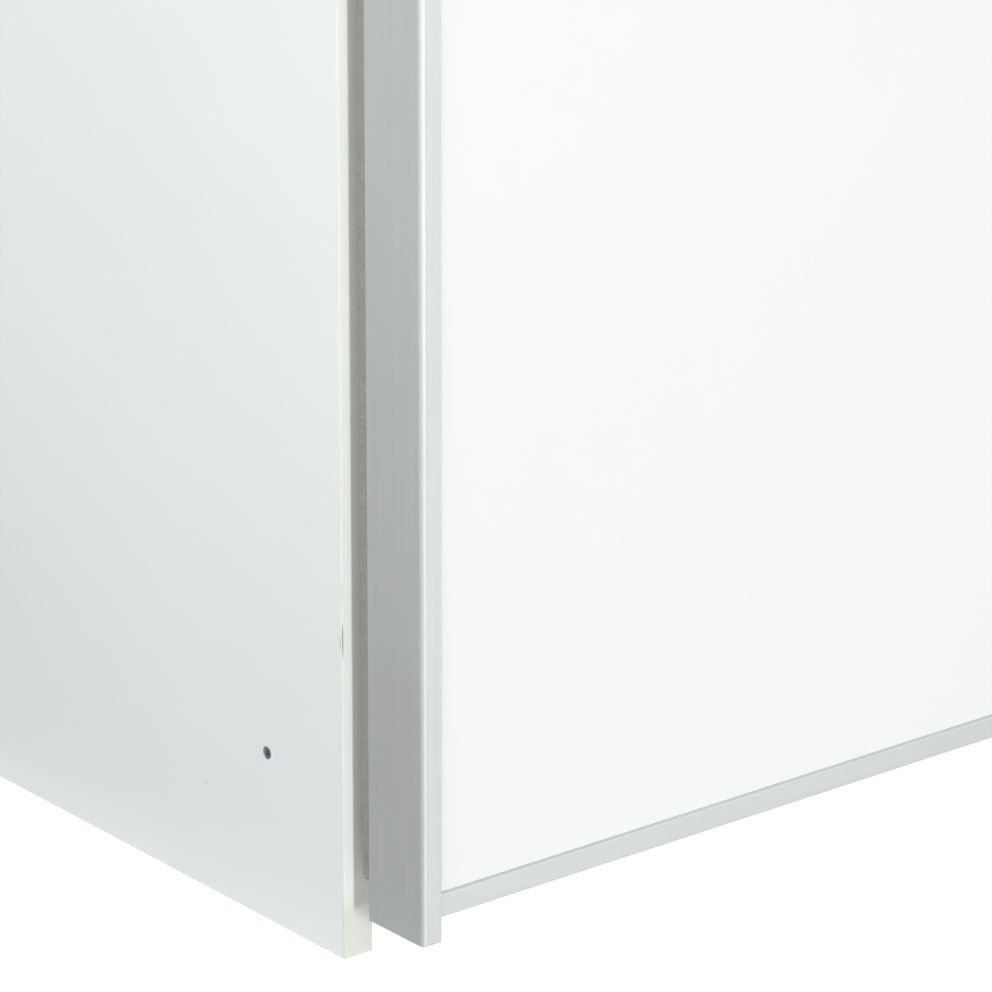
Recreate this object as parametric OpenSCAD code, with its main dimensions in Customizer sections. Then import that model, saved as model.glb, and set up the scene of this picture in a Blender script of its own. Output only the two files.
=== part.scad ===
// Sliding door wardrobe: two doors hang from a double track in front of a board carcase.
// X runs along the front, Y runs from the doors to the wall, Z is up.
// The origin is on the floor, in the middle of the overall width and depth. Millimetres.

/* [Wardrobe] */
// Overall width
total_w = 1810; // [1500:10:2100]
// Overall height, to the top of the fascia
total_h = 2100; // [1950:10:2300]
// Overall depth, from the front door's face to the wall
total_d = 620; // [580:10:700]
// Thickness of the carcase boards
board_t = 16; // [16:1:19]
// Height of the floor panel's underside above the floor
floor_z = 76; // [74:1:90]

/* [Doors] */
// Depth of a door's upright profile
stile_d = 40; // [38:1:44]
// Visible width of the upright profile's front lip
stile_lip_w = 10.8; // [9:0.2:13]
// Width of the hollow part of the upright profile behind the panel
stile_box_w = 30; // [26:1:36]
// Visible height of the horizontal profile's front lip
rail_lip_h = 11.2; // [10:0.2:14]
// Height of the hollow part of the horizontal profile behind the panel
rail_box_h = 30; // [28:1:36]
// Thickness of the door panel
panel_t = 10; // [8:1:10]
// Height of the upright profile's lower end above the floor
stile_z = 26; // [24:1:30]
// How far the uprights reach below the bottom rail
stile_overrun = 11.6; // [10:0.2:14]
// How far the uprights reach above the top rail
top_overrun = 2; // [0:1:6]
// Gap between the carcase front and the rear door
door_gap = 18; // [16:1:22]
// Gap between the rear door and the front door
door_clear = 8; // [8:1:12]

/* [Inside] */
// Height of the lowest right shelf's underside
first_shelf_z = 420; // [350:10:460]
// Spacing of the right shelves
shelf_pitch = 324; // [300:4:340]
// Depth of a shelf
shelf_d = 480; // [430:5:480]
// Width of the oval clothes rail's section, measured upright
rail_tube_h = 30; // [26:1:32]

/* [Hidden] */

$fn = 32;
eps = 0.01;

// Colours
board_c = [0.92, 0.93, 0.92];
band_c = [0.93, 0.93, 0.90];
gloss_c = [0.97, 0.98, 0.97];
alu_c = [0.70, 0.72, 0.70];
steel_c = [0.60, 0.61, 0.62];
zinc_c = [0.52, 0.56, 0.60];
brush_c = [0.30, 0.31, 0.33];
nylon_c = [0.86, 0.87, 0.86];
rubber_c = [0.20, 0.20, 0.21];
wood_c = [0.78, 0.66, 0.47];

// Carcase planes
side_x = total_w / 2;
inner_x = side_x - board_t;
wall_y = total_d / 2;
front_y = -total_d / 2;
rear_door_y = front_y + stile_d + door_clear;
carcase_y = rear_door_y + stile_d + door_gap;
band_t = 1;
band_play = 0.1;
fascia_rise = 18;
board_y = carcase_y + band_t;
back_t = 3;
back_y = wall_y - back_t;
board_d = back_y - board_y;
carcase_h = total_h - fascia_rise;
top_z = carcase_h - board_t;
floor_top = floor_z + board_t;
half_t = board_t / 2;

// Shelves and clothes rail
right_shelves = 4;
right_shelf_zs = [for (i = [0 : right_shelves - 1]) first_shelf_z + i * shelf_pitch];
shelf_play = 1;
shelf_back_gap = 2;
shelf_y = back_y - shelf_back_gap - shelf_d;
left_shelf_z = first_shelf_z + right_shelves * shelf_pitch;
rail_drop = 62;
rail_z = left_shelf_z - rail_drop;
rail_y = back_y - board_d / 2;
rail_tube_w = rail_tube_h / 2;
rail_wall = 1;
rail_end_gap = 3;
socket_wall = 2.5;
socket_plate_t = 2;
socket_l = 14;
socket_ear = 12;
socket_screw_dz = rail_tube_h / 2 + socket_wall + socket_ear / 2;
pin_r = 2.5;
pin_hole = 7.5;
pin_out = 8;
pin_step = 32;
pin_inset = 50;
pin_rows = [shelf_y + pin_inset, back_y - pin_inset];
left_shelf_xs = [-inner_x, -half_t];
right_shelf_xs = [half_t, inner_x];

// Board joints
bolt_inset = 58;
bolt_ys = [carcase_y + bolt_inset, wall_y - bolt_inset];
bolt_head_r = 3.05;
bolt_head_l = 5;
bolt_recess = 0.3;
bolt_key_r = 1.7;
bolt_key_depth = 2.5;
bolt_r = 2.4;
bolt_reach = 36;
nut_r = 5;
nut_l = 13;
nut_inset = 30;
nut_x = inner_x - nut_inset;
fit = 0.05;
dowel_r = 4;
dowel_half = 12;
dowel_inset = 90;
dowel_ys = [board_y + dowel_inset, back_y - dowel_inset];
nail_r = 0.9;
nail_l = 17;
nail_head_r = 2.4;
nail_head_t = 0.9;
nail_end = 180;
nail_zs = [for (i = [0 : 4]) nail_end + i * (carcase_h - 2 * nail_end) / 4];
nail_xs = [inner_x * 0.3, inner_x * 0.7];
back_edge = 2;
back_meet = 0.5;

// Plinth
plinth_back = 70;
plinth_y = carcase_y + plinth_back;
rear_plinth_set = 26;
rear_plinth_y = back_y - rear_plinth_set;

// Top track
track_cap_t = 3;
track_len = total_w - 2 * track_cap_t;
track_plate_t = 3;
track_wall = 2;
track_lip_drop = 36;
track_lip_z = carcase_h - track_lip_drop;
bead_w = 3;
bead_h = 2;
fascia_t = 10;
fascia_h = 69;
fascia_z = total_h - fascia_h;
track_front_y = front_y + fascia_t;
track_reach = 60;
track_rear_y = carcase_y + track_reach;
wheel_set = 30;
web_set = 46;
lip_w = 22;
wheel_r = 16;
tread_r = 14;
wheel_w = 8;
tread_w = 4.4;
hub_r = 7;
rim_r = 12;
dish = 1.2;
axle_r = 3;
run_gap = 0.3;
axle_z = track_lip_z + track_wall + bead_h + run_gap + tread_r;
track_screw_xs = spread(80, 6);
track_screw_set = 40;
track_screw_y = carcase_y + track_screw_set;
fascia_screw_xs = spread(120, 4);
fascia_screw_z = track_lip_z + 12;
fascia_screw_depth = 7.5;
stop_len = 20;
stop_t = 9;
stop_front = 4;
stop_drop = 6;
stop_gap = 0.5;

// Wall angles
angle_x = inner_x / 2;
angle_w = 30;
angle_t = 2;
angle_foot = 30;
angle_screw_set = 18;
wall_hole_z = carcase_h + 10;
wall_hole_r = 2.5;

// Guide rail under the floor panel
guide_rail_y = carcase_y + 3;
guide_rail_d = 56;
guide_rail_h = 14;
groove_w = 8;
groove_depth = 11;
groove_set = [12, 40];
guide_web = 3;
guide_screw_set = 26;
guide_screw_slot = 12;
guide_screw_xs = spread(100, 6);
guide_end_gap = 2;
guide_rail_len = 2 * (inner_x - guide_end_gap);

// Doors
overlap = stile_box_w;
door_w = (total_w + overlap) / 2;
left_door_x0 = -side_x;
right_door_x0 = side_x - door_w;
travel_gap = 4;
left_travel = inner_x - travel_gap - door_w - left_door_x0;
right_travel = total_w - door_w;
stile_top = fascia_z - 3;
stile_wall = 1.8;
nose_r = 2.5;
lip_corner_r = 0.4;
rail_corner_r = 0.6;
back_corner_r = 1;
lip_t = 2.2;
groove_play = 0.2;
panel_set = lip_t + groove_play;
web_front = panel_set + panel_t + groove_play;
web_t = 1.6;
rail_set = 1;
rail_z0 = stile_z + stile_overrun;
rail_z1 = stile_top - top_overrun;
rail_joint = 0.6;
box_joint = 0.1;
panel_play = 0.6;
panel_seat = 0.2;
brush_set = 4;
brush_w = 6;
brush_depth = 9.4;
slim_brush = 7;
brush_z = stile_z + 17;
corner_size = 70;
corner_plate_set = 1;
corner_plate_w = 18;
corner_arm_w = 22;
corner_arm_l = 52;
corner_t = 2;
corner_stile_screws = [[stile_box_w - 11, 12], [stile_box_w - 11, 54]];
corner_rail_screws = [[stile_box_w + 12, 12], [stile_box_w + 42, 12]];
bracket_set = 70;
bracket_w = 60;
bracket_t = 3;
bracket_front = 20;
bracket_cut = 16;
bracket_top = axle_z + 12;
foot_d = 20;
foot_screw_y = bracket_front + 13;
foot_screw_xs = [bracket_set - 20, bracket_set + 20];
axle_head_r = 4.5;
collar_r = 4.2;
collar_t = 1.2;
wheel_play = 0.3;
arm_set = 150;
arm_w = 36;
arm_t = 2.5;
rear_arm_z = 44;
front_arm_z = 18;
arm_top = rail_z0 + rail_box_h - 4;
arm_screw_z = arm_top - 8;
arm_screw_xs = [arm_set - 10, arm_set + 10];
arm_reach = 5;
finger_w = 7;
finger_len = 24;
finger_top = floor_z - guide_rail_h + 8;
screw_r = 2;
screw_hole_r = 2.2;
screw_head_r = 3.8;
screw_head_t = 1.8;
screw_key_r = 1.5;
board_screw_l = 13;
socket_screw_l = 12;
fascia_screw_l = 9;
spacer_screw_l = 18;
door_screw_l = 5;
foot_screw_l = 6;

// Spacer beside the front door, on the right side panel
spacer_t = 1.5;
spacer_y = carcase_y - stile_d - door_clear;
spacer_z = stile_z;
spacer_end = 100;
spacer_pitch = (stile_top - spacer_z - 2 * spacer_end) / 3;
spacer_screw_zs = [for (i = [0 : 3]) spacer_z + spacer_end + i * spacer_pitch];

// Places spread evenly along the front, from one inset to the other
function spread(inset, count) =
    [for (i = [0 : count - 1]) -inner_x + inset + i * 2 * (inner_x - inset) / (count - 1)];

// ---- Small shapes -------------------------------------------------------

module block(x0, x1, y0, y1, z0, z1) {
    translate([x0, y0, z0]) cube([x1 - x0, y1 - y0, z1 - z0]);
}

module rect(x0, x1, y0, y1) {
    translate([x0, y0]) square([x1 - x0, y1 - y0]);
}

// A section drawn as Y and Z, run along X
module along_x(x0, x1) {
    translate([x0, 0, 0]) rotate([90, 0, 90]) linear_extrude(x1 - x0) children();
}

// A rod from a point along +X, +Y or +Z
module rod_x(p, r, l) {
    translate(p) rotate([0, 90, 0]) cylinder(r = r, h = l);
}

module rod_y(p, r, l) {
    translate(p) rotate([-90, 0, 0]) cylinder(r = r, h = l);
}

module rod_z(p, r, l) {
    translate(p) cylinder(r = r, h = l);
}

// Cuts a square outline's corner back to a round one
module round_off(x, y, r, sx, sy) {
    translate([x, y]) scale([sx, sy]) difference() {
        translate([-1, -1]) square(r + 1);
        translate([r, r]) circle(r = r, $fn = 48);
    }
}

// A screw whose head's underside is at p and whose shank runs along -Z
module screw_down(p, l) {
    translate(p) {
        difference() {
            cylinder(r = screw_head_r, h = screw_head_t);
            translate([0, 0, screw_head_t - 1]) cylinder(r = screw_key_r, h = 2, $fn = 6);
        }
        translate([0, 0, -l]) cylinder(r = screw_r, h = l + eps);
    }
}

module pilot_down(p, l) {
    translate([p[0], p[1], p[2] - l - fit]) cylinder(r = screw_r + fit, h = l + 1);
}

module on_both_sides() {
    for (side = [-1, 1]) scale([side, 1, 1]) children();
}

// ---- Carcase ------------------------------------------------------------

module bolt_holes(side) {
    for (y = bolt_ys, z = [floor_z + half_t, top_z + half_t])
        rod_x([side * (side_x - half_t) - half_t - 1, y, z], bolt_head_r + fit, board_t + 2);
}

// Rows of three holes into a board's face at x_plane; direction is where the board's inside lies
module shelf_pin_holes(x_plane, direction, z_list) {
    x0 = x_plane - (direction > 0 ? 1 : pin_hole);
    for (y = pin_rows, z = z_list, step = [-1, 0, 1])
        rod_x([x0, y, z - pin_r + step * pin_step], pin_r + fit, pin_hole + 1);
}

// The two screw holes of a rail socket, from just outside a board's face at x0
module socket_pilots(x0) {
    for (dz = [-1, 1])
        rod_x([x0, rail_y, rail_z + dz * socket_screw_dz], screw_r + fit, socket_screw_l + 1);
}

module nail_pilot(x, z) {
    rod_y([x, wall_y - nail_l - 1, z], nail_r + fit, nail_l + 1);
}

module side_panel(side, z_list) {
    difference() {
        block(side > 0 ? inner_x : -side_x, side > 0 ? side_x : -inner_x, board_y, back_y, 0, carcase_h);
        bolt_holes(side);
        shelf_pin_holes(side * inner_x, side, z_list);
        for (z = nail_zs) nail_pilot(side * (side_x - half_t), z);
        if (side < 0) socket_pilots(-inner_x - socket_screw_l);
        else spacer_pilots();
    }
}

// The holes that hold the spacer profile's screws in the right side panel
module spacer_pilots() {
    for (z = spacer_screw_zs) rod_y([side_x - half_t, carcase_y - 1, z], screw_r + fit, spacer_screw_l + 2);
}

module side_panel_left() {
    color(board_c) side_panel(-1, [left_shelf_z]);
}

module side_panel_right() {
    color(board_c) side_panel(1, right_shelf_zs);
}

module centre_partition() {
    color(board_c) difference() {
        block(-half_t, half_t, board_y, back_y, floor_top, top_z);
        shelf_pin_holes(-half_t, 1, [left_shelf_z]);
        shelf_pin_holes(half_t, -1, right_shelf_zs);
        for (y = dowel_ys) {
            rod_z([0, y, floor_top - 1], dowel_r + fit, dowel_half + 1 + fit);
            rod_z([0, y, top_z - dowel_half - fit], dowel_r + fit, dowel_half + 2);
        }
        socket_pilots(-half_t - 1);
    }
}

// The bores for the bolts, their nuts and the partition's dowels in a horizontal board
module joint_bores(z0, nut_z0, nut_z1, dowel_z0) {
    on_both_sides() for (y = bolt_ys) {
        rod_x([inner_x - bolt_reach, y, z0 + half_t], bolt_r + fit, bolt_reach + 1);
        rod_z([nut_x, y, nut_z0], nut_r + fit, nut_z1 - nut_z0);
    }
    for (y = dowel_ys) rod_z([0, y, dowel_z0], dowel_r + fit, dowel_half + 1);
}

module top_panel() {
    color(board_c) difference() {
        block(-inner_x, inner_x, board_y, back_y, top_z, carcase_h);
        joint_bores(top_z, carcase_h - nut_l, carcase_h + 1, top_z - 1 - fit);
        for (x = track_screw_xs)
            pilot_down([x, track_screw_y, carcase_h + track_plate_t], board_screw_l + 1);
        on_both_sides() {
            for (x = nail_xs) nail_pilot(x, top_z + half_t);
            pilot_down([angle_x, back_y - angle_screw_set, carcase_h + angle_t], board_screw_l + 1);
        }
    }
}

module floor_panel() {
    color(board_c) difference() {
        block(-inner_x, inner_x, board_y, back_y, floor_z, floor_top);
        joint_bores(floor_z, floor_z - 1, floor_z + nut_l, floor_top - dowel_half + fit);
        on_both_sides() for (x = nail_xs) nail_pilot(x, floor_z + half_t);
        for (x = guide_screw_xs)
            rod_z([x, guide_rail_y + guide_screw_set, floor_z - 1], screw_r + fit, board_screw_l);
    }
}

module front_plinth() {
    color(board_c) block(-inner_x, inner_x, plinth_y, plinth_y + board_t, 0, floor_z);
}

module rear_plinth() {
    color(board_c) block(-inner_x, inner_x, rear_plinth_y, rear_plinth_y + board_t, 0, floor_z);
}

module centre_support() {
    color(board_c) block(-half_t, half_t, plinth_y + board_t, rear_plinth_y, 0, floor_z);
}

module back_panel(side) {
    x0 = side > 0 ? back_meet : back_edge - side_x;
    x1 = side > 0 ? side_x - back_edge : -back_meet;
    color(board_c) difference() {
        block(x0, x1, back_y, wall_y, floor_z, carcase_h - back_edge);
        back_nail_places(side) {
            rod_y([0, back_y - 1, 0], nail_r + fit, back_t + 2);
            rod_y([0, wall_y - nail_head_t - fit, 0], nail_head_r + fit, 2);
        }
    }
}

module back_nail_places(side) {
    for (z = nail_zs) translate([side * (side_x - half_t), 0, z]) children();
    for (x = nail_xs, z = [floor_z + half_t, top_z + half_t]) translate([side * x, 0, z]) children();
}

module back_panel_left() {
    back_panel(-1);
}

module back_panel_right() {
    back_panel(1);
}

module shelf(xs, z) {
    color(board_c)
        block(xs[0] + shelf_play, xs[1] - shelf_play, shelf_y + band_t, shelf_y + shelf_d, z, z + board_t);
}

module left_shelf() {
    shelf(left_shelf_xs, left_shelf_z);
}

module right_shelf(i) {
    shelf(right_shelf_xs, right_shelf_zs[i - 1]);
}

// One strip for the front edge of each board that shows
module edge_bands() {
    color(band_c) {
        difference() {
            on_both_sides() block(inner_x, side_x, carcase_y, board_y, 0, carcase_h);
            spacer_pilots();
        }
        block(-half_t, half_t, carcase_y, board_y, floor_top + band_play, top_z - band_play);
        for (z = [floor_z, top_z])
            block(-inner_x + band_play, inner_x - band_play, carcase_y, board_y, z, z + board_t);
        shelf_band(left_shelf_xs, left_shelf_z);
        for (z = right_shelf_zs) shelf_band(right_shelf_xs, z);
    }
}

module shelf_band(xs, z) {
    block(xs[0] + shelf_play, xs[1] - shelf_play, shelf_y, shelf_y + band_t, z, z + board_t);
}

module shelf_pin(x_plane, direction, y, z) {
    translate([x_plane, y, z - pin_r - fit]) scale([direction, 1, 1]) {
        rod_x([-pin_hole + 0.5, 0, 0], pin_r, pin_hole + pin_out - 0.5);
        rod_x([0, 0, 0], pin_r + eps, pin_out);
    }
}

module shelf_pins() {
    color(steel_c) for (y = pin_rows) {
        shelf_pin(left_shelf_xs[0], 1, y, left_shelf_z);
        shelf_pin(left_shelf_xs[1], -1, y, left_shelf_z);
        for (z = right_shelf_zs) {
            shelf_pin(right_shelf_xs[0], 1, y, z);
            shelf_pin(right_shelf_xs[1], -1, y, z);
        }
    }
}

// The oval section of the clothes rail, upright, drawn as Y and Z
module oval(h, w) {
    for (end = [-1, 1]) translate([rail_y, rail_z + end * (h - w) / 2]) circle(d = w, $fn = 48);
    translate([rail_y - w / 2, rail_z - (h - w) / 2]) square([w, h - w]);
}

module clothes_rail() {
    color(steel_c) along_x(rail_end_gap - inner_x, -half_t - rail_end_gap) difference() {
        oval(rail_tube_h, rail_tube_w);
        oval(rail_tube_h - 2 * rail_wall, rail_tube_w - 2 * rail_wall);
    }
}

// A flanged cup around each end of the clothes rail
module rail_socket() {
    along_x(0, socket_plate_t) difference() {
        oval(rail_tube_h + 2 * (socket_wall + socket_ear), rail_tube_w + 2 * socket_wall);
        for (dz = [-1, 1]) translate([rail_y, rail_z + dz * socket_screw_dz]) circle(r = screw_hole_r);
    }
    along_x(socket_plate_t, socket_l) difference() {
        oval(rail_tube_h + 2 * socket_wall, rail_tube_w + 2 * socket_wall);
        oval(rail_tube_h + 0.2, rail_tube_w + 0.2);
    }
}

module clothes_rail_sockets() {
    color(steel_c) {
        translate([-inner_x, 0, 0]) rail_socket();
        translate([-half_t, 0, 0]) mirror([1, 0, 0]) rail_socket();
    }
}

// Hexagon socket head bolts through the side panels into nuts in the horizontal boards
module connecting_bolts() {
    color(zinc_c) on_both_sides() for (y = bolt_ys, z = [floor_z + half_t, top_z + half_t]) {
        difference() {
            rod_x([side_x - bolt_recess - bolt_head_l, y, z], bolt_head_r, bolt_head_l);
            translate([side_x - bolt_recess - bolt_key_depth, y, z]) rotate([0, 90, 0])
                cylinder(r = bolt_key_r, h = bolt_key_depth + 1, $fn = 6);
        }
        rod_x([inner_x - bolt_reach + 0.5, y, z], bolt_r, bolt_reach + board_t - bolt_recess - bolt_head_l);
    }
}

module barrel_nut(z0, bolt_z) {
    for (y = bolt_ys) difference() {
        rod_z([nut_x, y, z0], nut_r, nut_l - fit);
        rod_x([nut_x - nut_r - 1, y, bolt_z], bolt_r + 2 * fit, 2 * nut_r + 2);
    }
}

module barrel_nuts() {
    color(zinc_c) on_both_sides() {
        barrel_nut(floor_z, floor_z + half_t);
        barrel_nut(carcase_h - nut_l + fit, top_z + half_t);
    }
}

module wooden_dowels() {
    color(wood_c) for (y = dowel_ys) {
        rod_z([0, y, floor_top - dowel_half + 2 * fit], dowel_r, 2 * dowel_half - 2 * fit);
        rod_z([0, y, top_z - dowel_half], dowel_r, 2 * dowel_half - 4 * fit);
    }
}

module back_nails() {
    color(steel_c) for (side = [-1, 1]) back_nail_places(side) {
        rod_y([0, wall_y - nail_l, 0], nail_r, nail_l - nail_head_t / 2);
        rod_y([0, wall_y - nail_head_t, 0], nail_head_r, nail_head_t);
    }
}

// Small angles that tie the top panel to the wall
module wall_brackets() {
    half_w = angle_w / 2;
    color(steel_c) on_both_sides() translate([angle_x, 0, 0]) {
        difference() {
            block(-half_w, half_w, back_y - angle_foot, wall_y, carcase_h, carcase_h + angle_t);
            rod_z([0, back_y - angle_screw_set, carcase_h - 1], screw_hole_r, angle_t + 2);
        }
        difference() {
            block(-half_w, half_w, wall_y - angle_t, wall_y, carcase_h, total_h);
            rod_y([0, wall_y - angle_t - 1, wall_hole_z], wall_hole_r, angle_t + 2);
        }
    }
}

// Every small wood screw that stays with the carcase
module carcase_screws() {
    color(zinc_c) {
        for (x = track_screw_xs) screw_down([x, track_screw_y, carcase_h + track_plate_t], board_screw_l);
        for (x = guide_screw_xs) translate([x, guide_rail_y + guide_screw_set, floor_z - guide_web])
            mirror([0, 0, 1]) screw_down([0, 0, 0], board_screw_l);
        on_both_sides() screw_down([angle_x, back_y - angle_screw_set, carcase_h + angle_t], board_screw_l);
        for (dz = [-1, 1]) {
            z = rail_z + dz * socket_screw_dz;
            translate([socket_plate_t - inner_x, rail_y, z]) rotate([0, 90, 0])
                screw_down([0, 0, 0], socket_screw_l);
            translate([-half_t - socket_plate_t, rail_y, z]) rotate([0, -90, 0])
                screw_down([0, 0, 0], socket_screw_l);
        }
        for (x = fascia_screw_xs) translate([x, track_front_y + track_wall, fascia_screw_z])
            rotate([-90, 0, 0]) screw_down([0, 0, 0], fascia_screw_l);
        for (z = spacer_screw_zs) translate([side_x - half_t, carcase_y - spacer_t, z])
            rotate([90, 0, 0]) screw_down([0, 0, 0], spacer_screw_l);
    }
}

// ---- Track, fascia and guide rail ----------------------------------------

// A leg of the track under the plate: an upright web, a shelf and the bead that the wheels run on
module track_leg(door_y) {
    web_y = door_y + web_set;
    bead_y = door_y + wheel_set;
    rect(web_y, web_y + track_wall, track_lip_z, carcase_h + eps);
    rect(web_y - lip_w + track_wall, web_y + track_wall, track_lip_z, track_lip_z + track_wall);
    rect(bead_y - bead_w / 2, bead_y + bead_w / 2, track_lip_z, track_lip_z + track_wall + bead_h);
}

module top_track() {
    color(alu_c) difference() {
        along_x(-track_len / 2, track_len / 2) {
            rect(track_front_y, track_rear_y, carcase_h, carcase_h + track_plate_t);
            rect(track_front_y, track_front_y + track_wall, track_lip_z, carcase_h + eps);
            track_leg(front_y);
            track_leg(rear_door_y);
        }
        for (x = track_screw_xs) rod_z([x, track_screw_y, carcase_h - 1], screw_hole_r, track_plate_t + 2);
        for (x = fascia_screw_xs)
            rod_y([x, track_front_y - 1, fascia_screw_z], screw_hole_r, track_wall + 2);
    }
}

module track_fascia() {
    color(board_c) difference() {
        block(-side_x, side_x, front_y, track_front_y, fascia_z, total_h);
        for (x = fascia_screw_xs) translate([x, track_front_y - fascia_screw_depth, fascia_screw_z])
            rod_y([0, 0, 0], screw_r + fit, fascia_screw_depth + 1);
    }
}

module track_end_caps() {
    color(board_c) on_both_sides()
        block(track_len / 2, side_x, track_front_y, carcase_y, fascia_z, carcase_h + track_plate_t);
}

// Rubber blocks that the roller brackets come up against at both ends of each door's way
module track_stops() {
    color(rubber_c) {
        door_stops(rear_door_y, left_door_x0, left_door_x0 + left_travel);
        door_stops(front_y, right_door_x0 - right_travel, right_door_x0);
    }
}

// The stops of a door whose left edge moves between x0 and x1
module door_stops(door_y, x0, x1) {
    low = x0 + bracket_set - bracket_w / 2 - stop_gap;
    high = x1 + door_w - bracket_set + bracket_w / 2 + stop_gap;
    y0 = door_y + bracket_front - stop_front;
    for (x = [low - stop_len, high])
        block(x, x + stop_len, y0, y0 + stop_t, axle_z - stop_drop, carcase_h);
}

module guide_rail() {
    color(alu_c) difference() {
        block(-guide_rail_len / 2, guide_rail_len / 2, guide_rail_y, guide_rail_y + guide_rail_d,
            floor_z - guide_rail_h, floor_z);
        for (set = groove_set) translate([0, carcase_y + set, floor_z - guide_rail_h])
            block(-side_x, side_x, -groove_w / 2, groove_w / 2, -1, groove_depth);
        translate([0, guide_rail_y + guide_screw_set, 0]) {
            block(-side_x, side_x, -guide_screw_slot / 2, guide_screw_slot / 2, floor_z - guide_rail_h - 1,
                floor_z - guide_web);
            for (x = guide_screw_xs) rod_z([x, 0, floor_z - guide_web - 1], screw_hole_r, guide_web + 2);
        }
    }
}

module spacer_profile() {
    color(alu_c) difference() {
        translate([0, 0, spacer_z]) linear_extrude(stile_top - spacer_z) {
            rect(side_x - spacer_t, side_x, spacer_y, carcase_y);
            rect(inner_x, side_x, spacer_y, spacer_y + spacer_t);
            rect(inner_x, side_x, carcase_y - spacer_t, carcase_y);
        }
        for (z = spacer_screw_zs)
            rod_y([side_x - half_t, carcase_y - spacer_t - 1, z], screw_hole_r, spacer_t + 2);
    }
}

// ---- Doors ----------------------------------------------------------------
// A door is drawn with its outer lower front corner at the origin, X to its inner edge, Y to its back.
// The left door stands in the rear plane, the right door is its mirror image in the front plane.

module place_door(side) {
    translate([side * side_x, side < 0 ? rear_door_y : front_y, 0]) scale([-side, 1, 1]) children();
}

module at_inner_edge() {
    translate([door_w, 0, 0]) mirror([1, 0, 0]) children();
}

module stile_section() {
    difference() {
        rect(0, stile_box_w, 0, stile_d);
        rect(stile_lip_w, stile_box_w + 1, -1, web_front);
        rect(stile_wall, stile_lip_w + 1, lip_t, web_front);
        rect(stile_wall, stile_box_w - stile_wall, web_front + web_t, stile_d - stile_wall);
        round_off(0, 0, nose_r, 1, 1);
        round_off(stile_lip_w, 0, lip_corner_r, -1, 1);
        round_off(0, stile_d, back_corner_r, 1, -1);
        round_off(stile_box_w, stile_d, back_corner_r, -1, -1);
    }
}

// Beyond the rails only the narrow part behind the upright's lip goes on
module stile_notch(z0, z1) {
    block(stile_lip_w, stile_box_w + 1, -1, stile_d + 1, z0, z1);
}

module door_stile() {
    difference() {
        translate([0, 0, stile_z]) linear_extrude(stile_top - stile_z) stile_section();
        stile_notch(stile_z - 1, rail_z0);
        stile_notch(rail_z1, stile_top + 1);
        at_lower_corner() corner_pilots(corner_stile_screws);
        at_upper_corner() corner_pilots(corner_stile_screws);
    }
}

module door_outer_stile() {
    color(alu_c) door_stile();
}

module door_inner_stile() {
    color(alu_c) at_inner_edge() door_stile();
}

// The lower rail's section, drawn as Y and Z, with the panel standing in its front groove
module rail_section() {
    difference() {
        rect(rail_set, stile_d, 0, rail_box_h);
        rect(-1, web_front, rail_lip_h, rail_box_h + 1);
        rect(panel_set, web_front, stile_wall, rail_box_h + 1);
        rect(web_front + web_t, stile_d - stile_wall, stile_wall, rail_box_h - stile_wall);
        round_off(rail_set, 0, lip_corner_r, 1, 1);
        round_off(rail_set, rail_lip_h, rail_corner_r, 1, -1);
    }
}

// The rail's lip reaches the uprights' lips, and its hollow part stops at their boxes
module door_rail() {
    difference() {
        translate([0, 0, rail_z0]) along_x(stile_lip_w + rail_joint, door_w - stile_lip_w - rail_joint)
            rail_section();
        on_door_ends() block(0, stile_box_w + box_joint, web_front - box_joint, stile_d + 1, rail_z0 - 1,
            rail_z0 + rail_box_h + 1);
    }
}

module on_door_ends() {
    children();
    at_inner_edge() children();
}

// A corner's own frame has its origin on the rail's outer edge, with Z towards the door's middle
module at_lower_corner() {
    translate([0, 0, rail_z0]) children();
}

module at_upper_corner() {
    translate([0, 0, rail_z1]) mirror([0, 0, 1]) children();
}

module corner_pilots(holes) {
    for (hole = holes) rod_y([hole[0], stile_d - 4, hole[1]], screw_r + fit, 5);
}

module door_bottom_rail() {
    color(alu_c) difference() {
        door_rail();
        on_door_ends() {
            at_lower_corner() corner_pilots(corner_rail_screws);
            for (x = arm_screw_xs) rod_y([x, stile_d - 4, arm_screw_z], screw_r + fit, 5);
        }
    }
}

module door_top_rail() {
    color(alu_c) difference() {
        translate([0, 0, rail_z0 + rail_z1]) mirror([0, 0, 1]) door_rail();
        on_door_ends() {
            at_upper_corner() corner_pilots(corner_rail_screws);
            for (x = foot_screw_xs) rod_z([x, foot_screw_y, rail_z1 - 4], screw_r + fit, 5);
        }
    }
}

module door_panel() {
    inset = stile_wall + panel_play;
    seat = stile_wall + panel_seat;
    color(gloss_c)
        block(inset, door_w - inset, panel_set, panel_set + panel_t, rail_z0 + seat, rail_z1 - seat);
}

module door_brushes(depth) {
    color(brush_c) on_door_ends() block(brush_set, brush_set + brush_w, stile_d, stile_d + depth, brush_z,
        stile_top - brush_z + stile_z);
}

// An L of sheet steel behind a corner of the door, drawn in the corner's own frame
module corner_plate() {
    x0 = stile_box_w - corner_plate_set - corner_plate_w;
    difference() {
        union() {
            block(x0, x0 + corner_plate_w, stile_d, stile_d + corner_t, corner_plate_set,
                corner_size - corner_plate_set);
            block(x0, stile_box_w + corner_arm_l, stile_d, stile_d + corner_t, corner_plate_set,
                corner_plate_set + corner_arm_w);
        }
        for (hole = concat(corner_stile_screws, corner_rail_screws))
            rod_y([hole[0], stile_d - 1, hole[1]], screw_hole_r, corner_t + 2);
    }
}

module door_corner_plates() {
    color(steel_c) on_door_ends() {
        at_lower_corner() corner_plate();
        at_upper_corner() corner_plate();
    }
}

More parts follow.
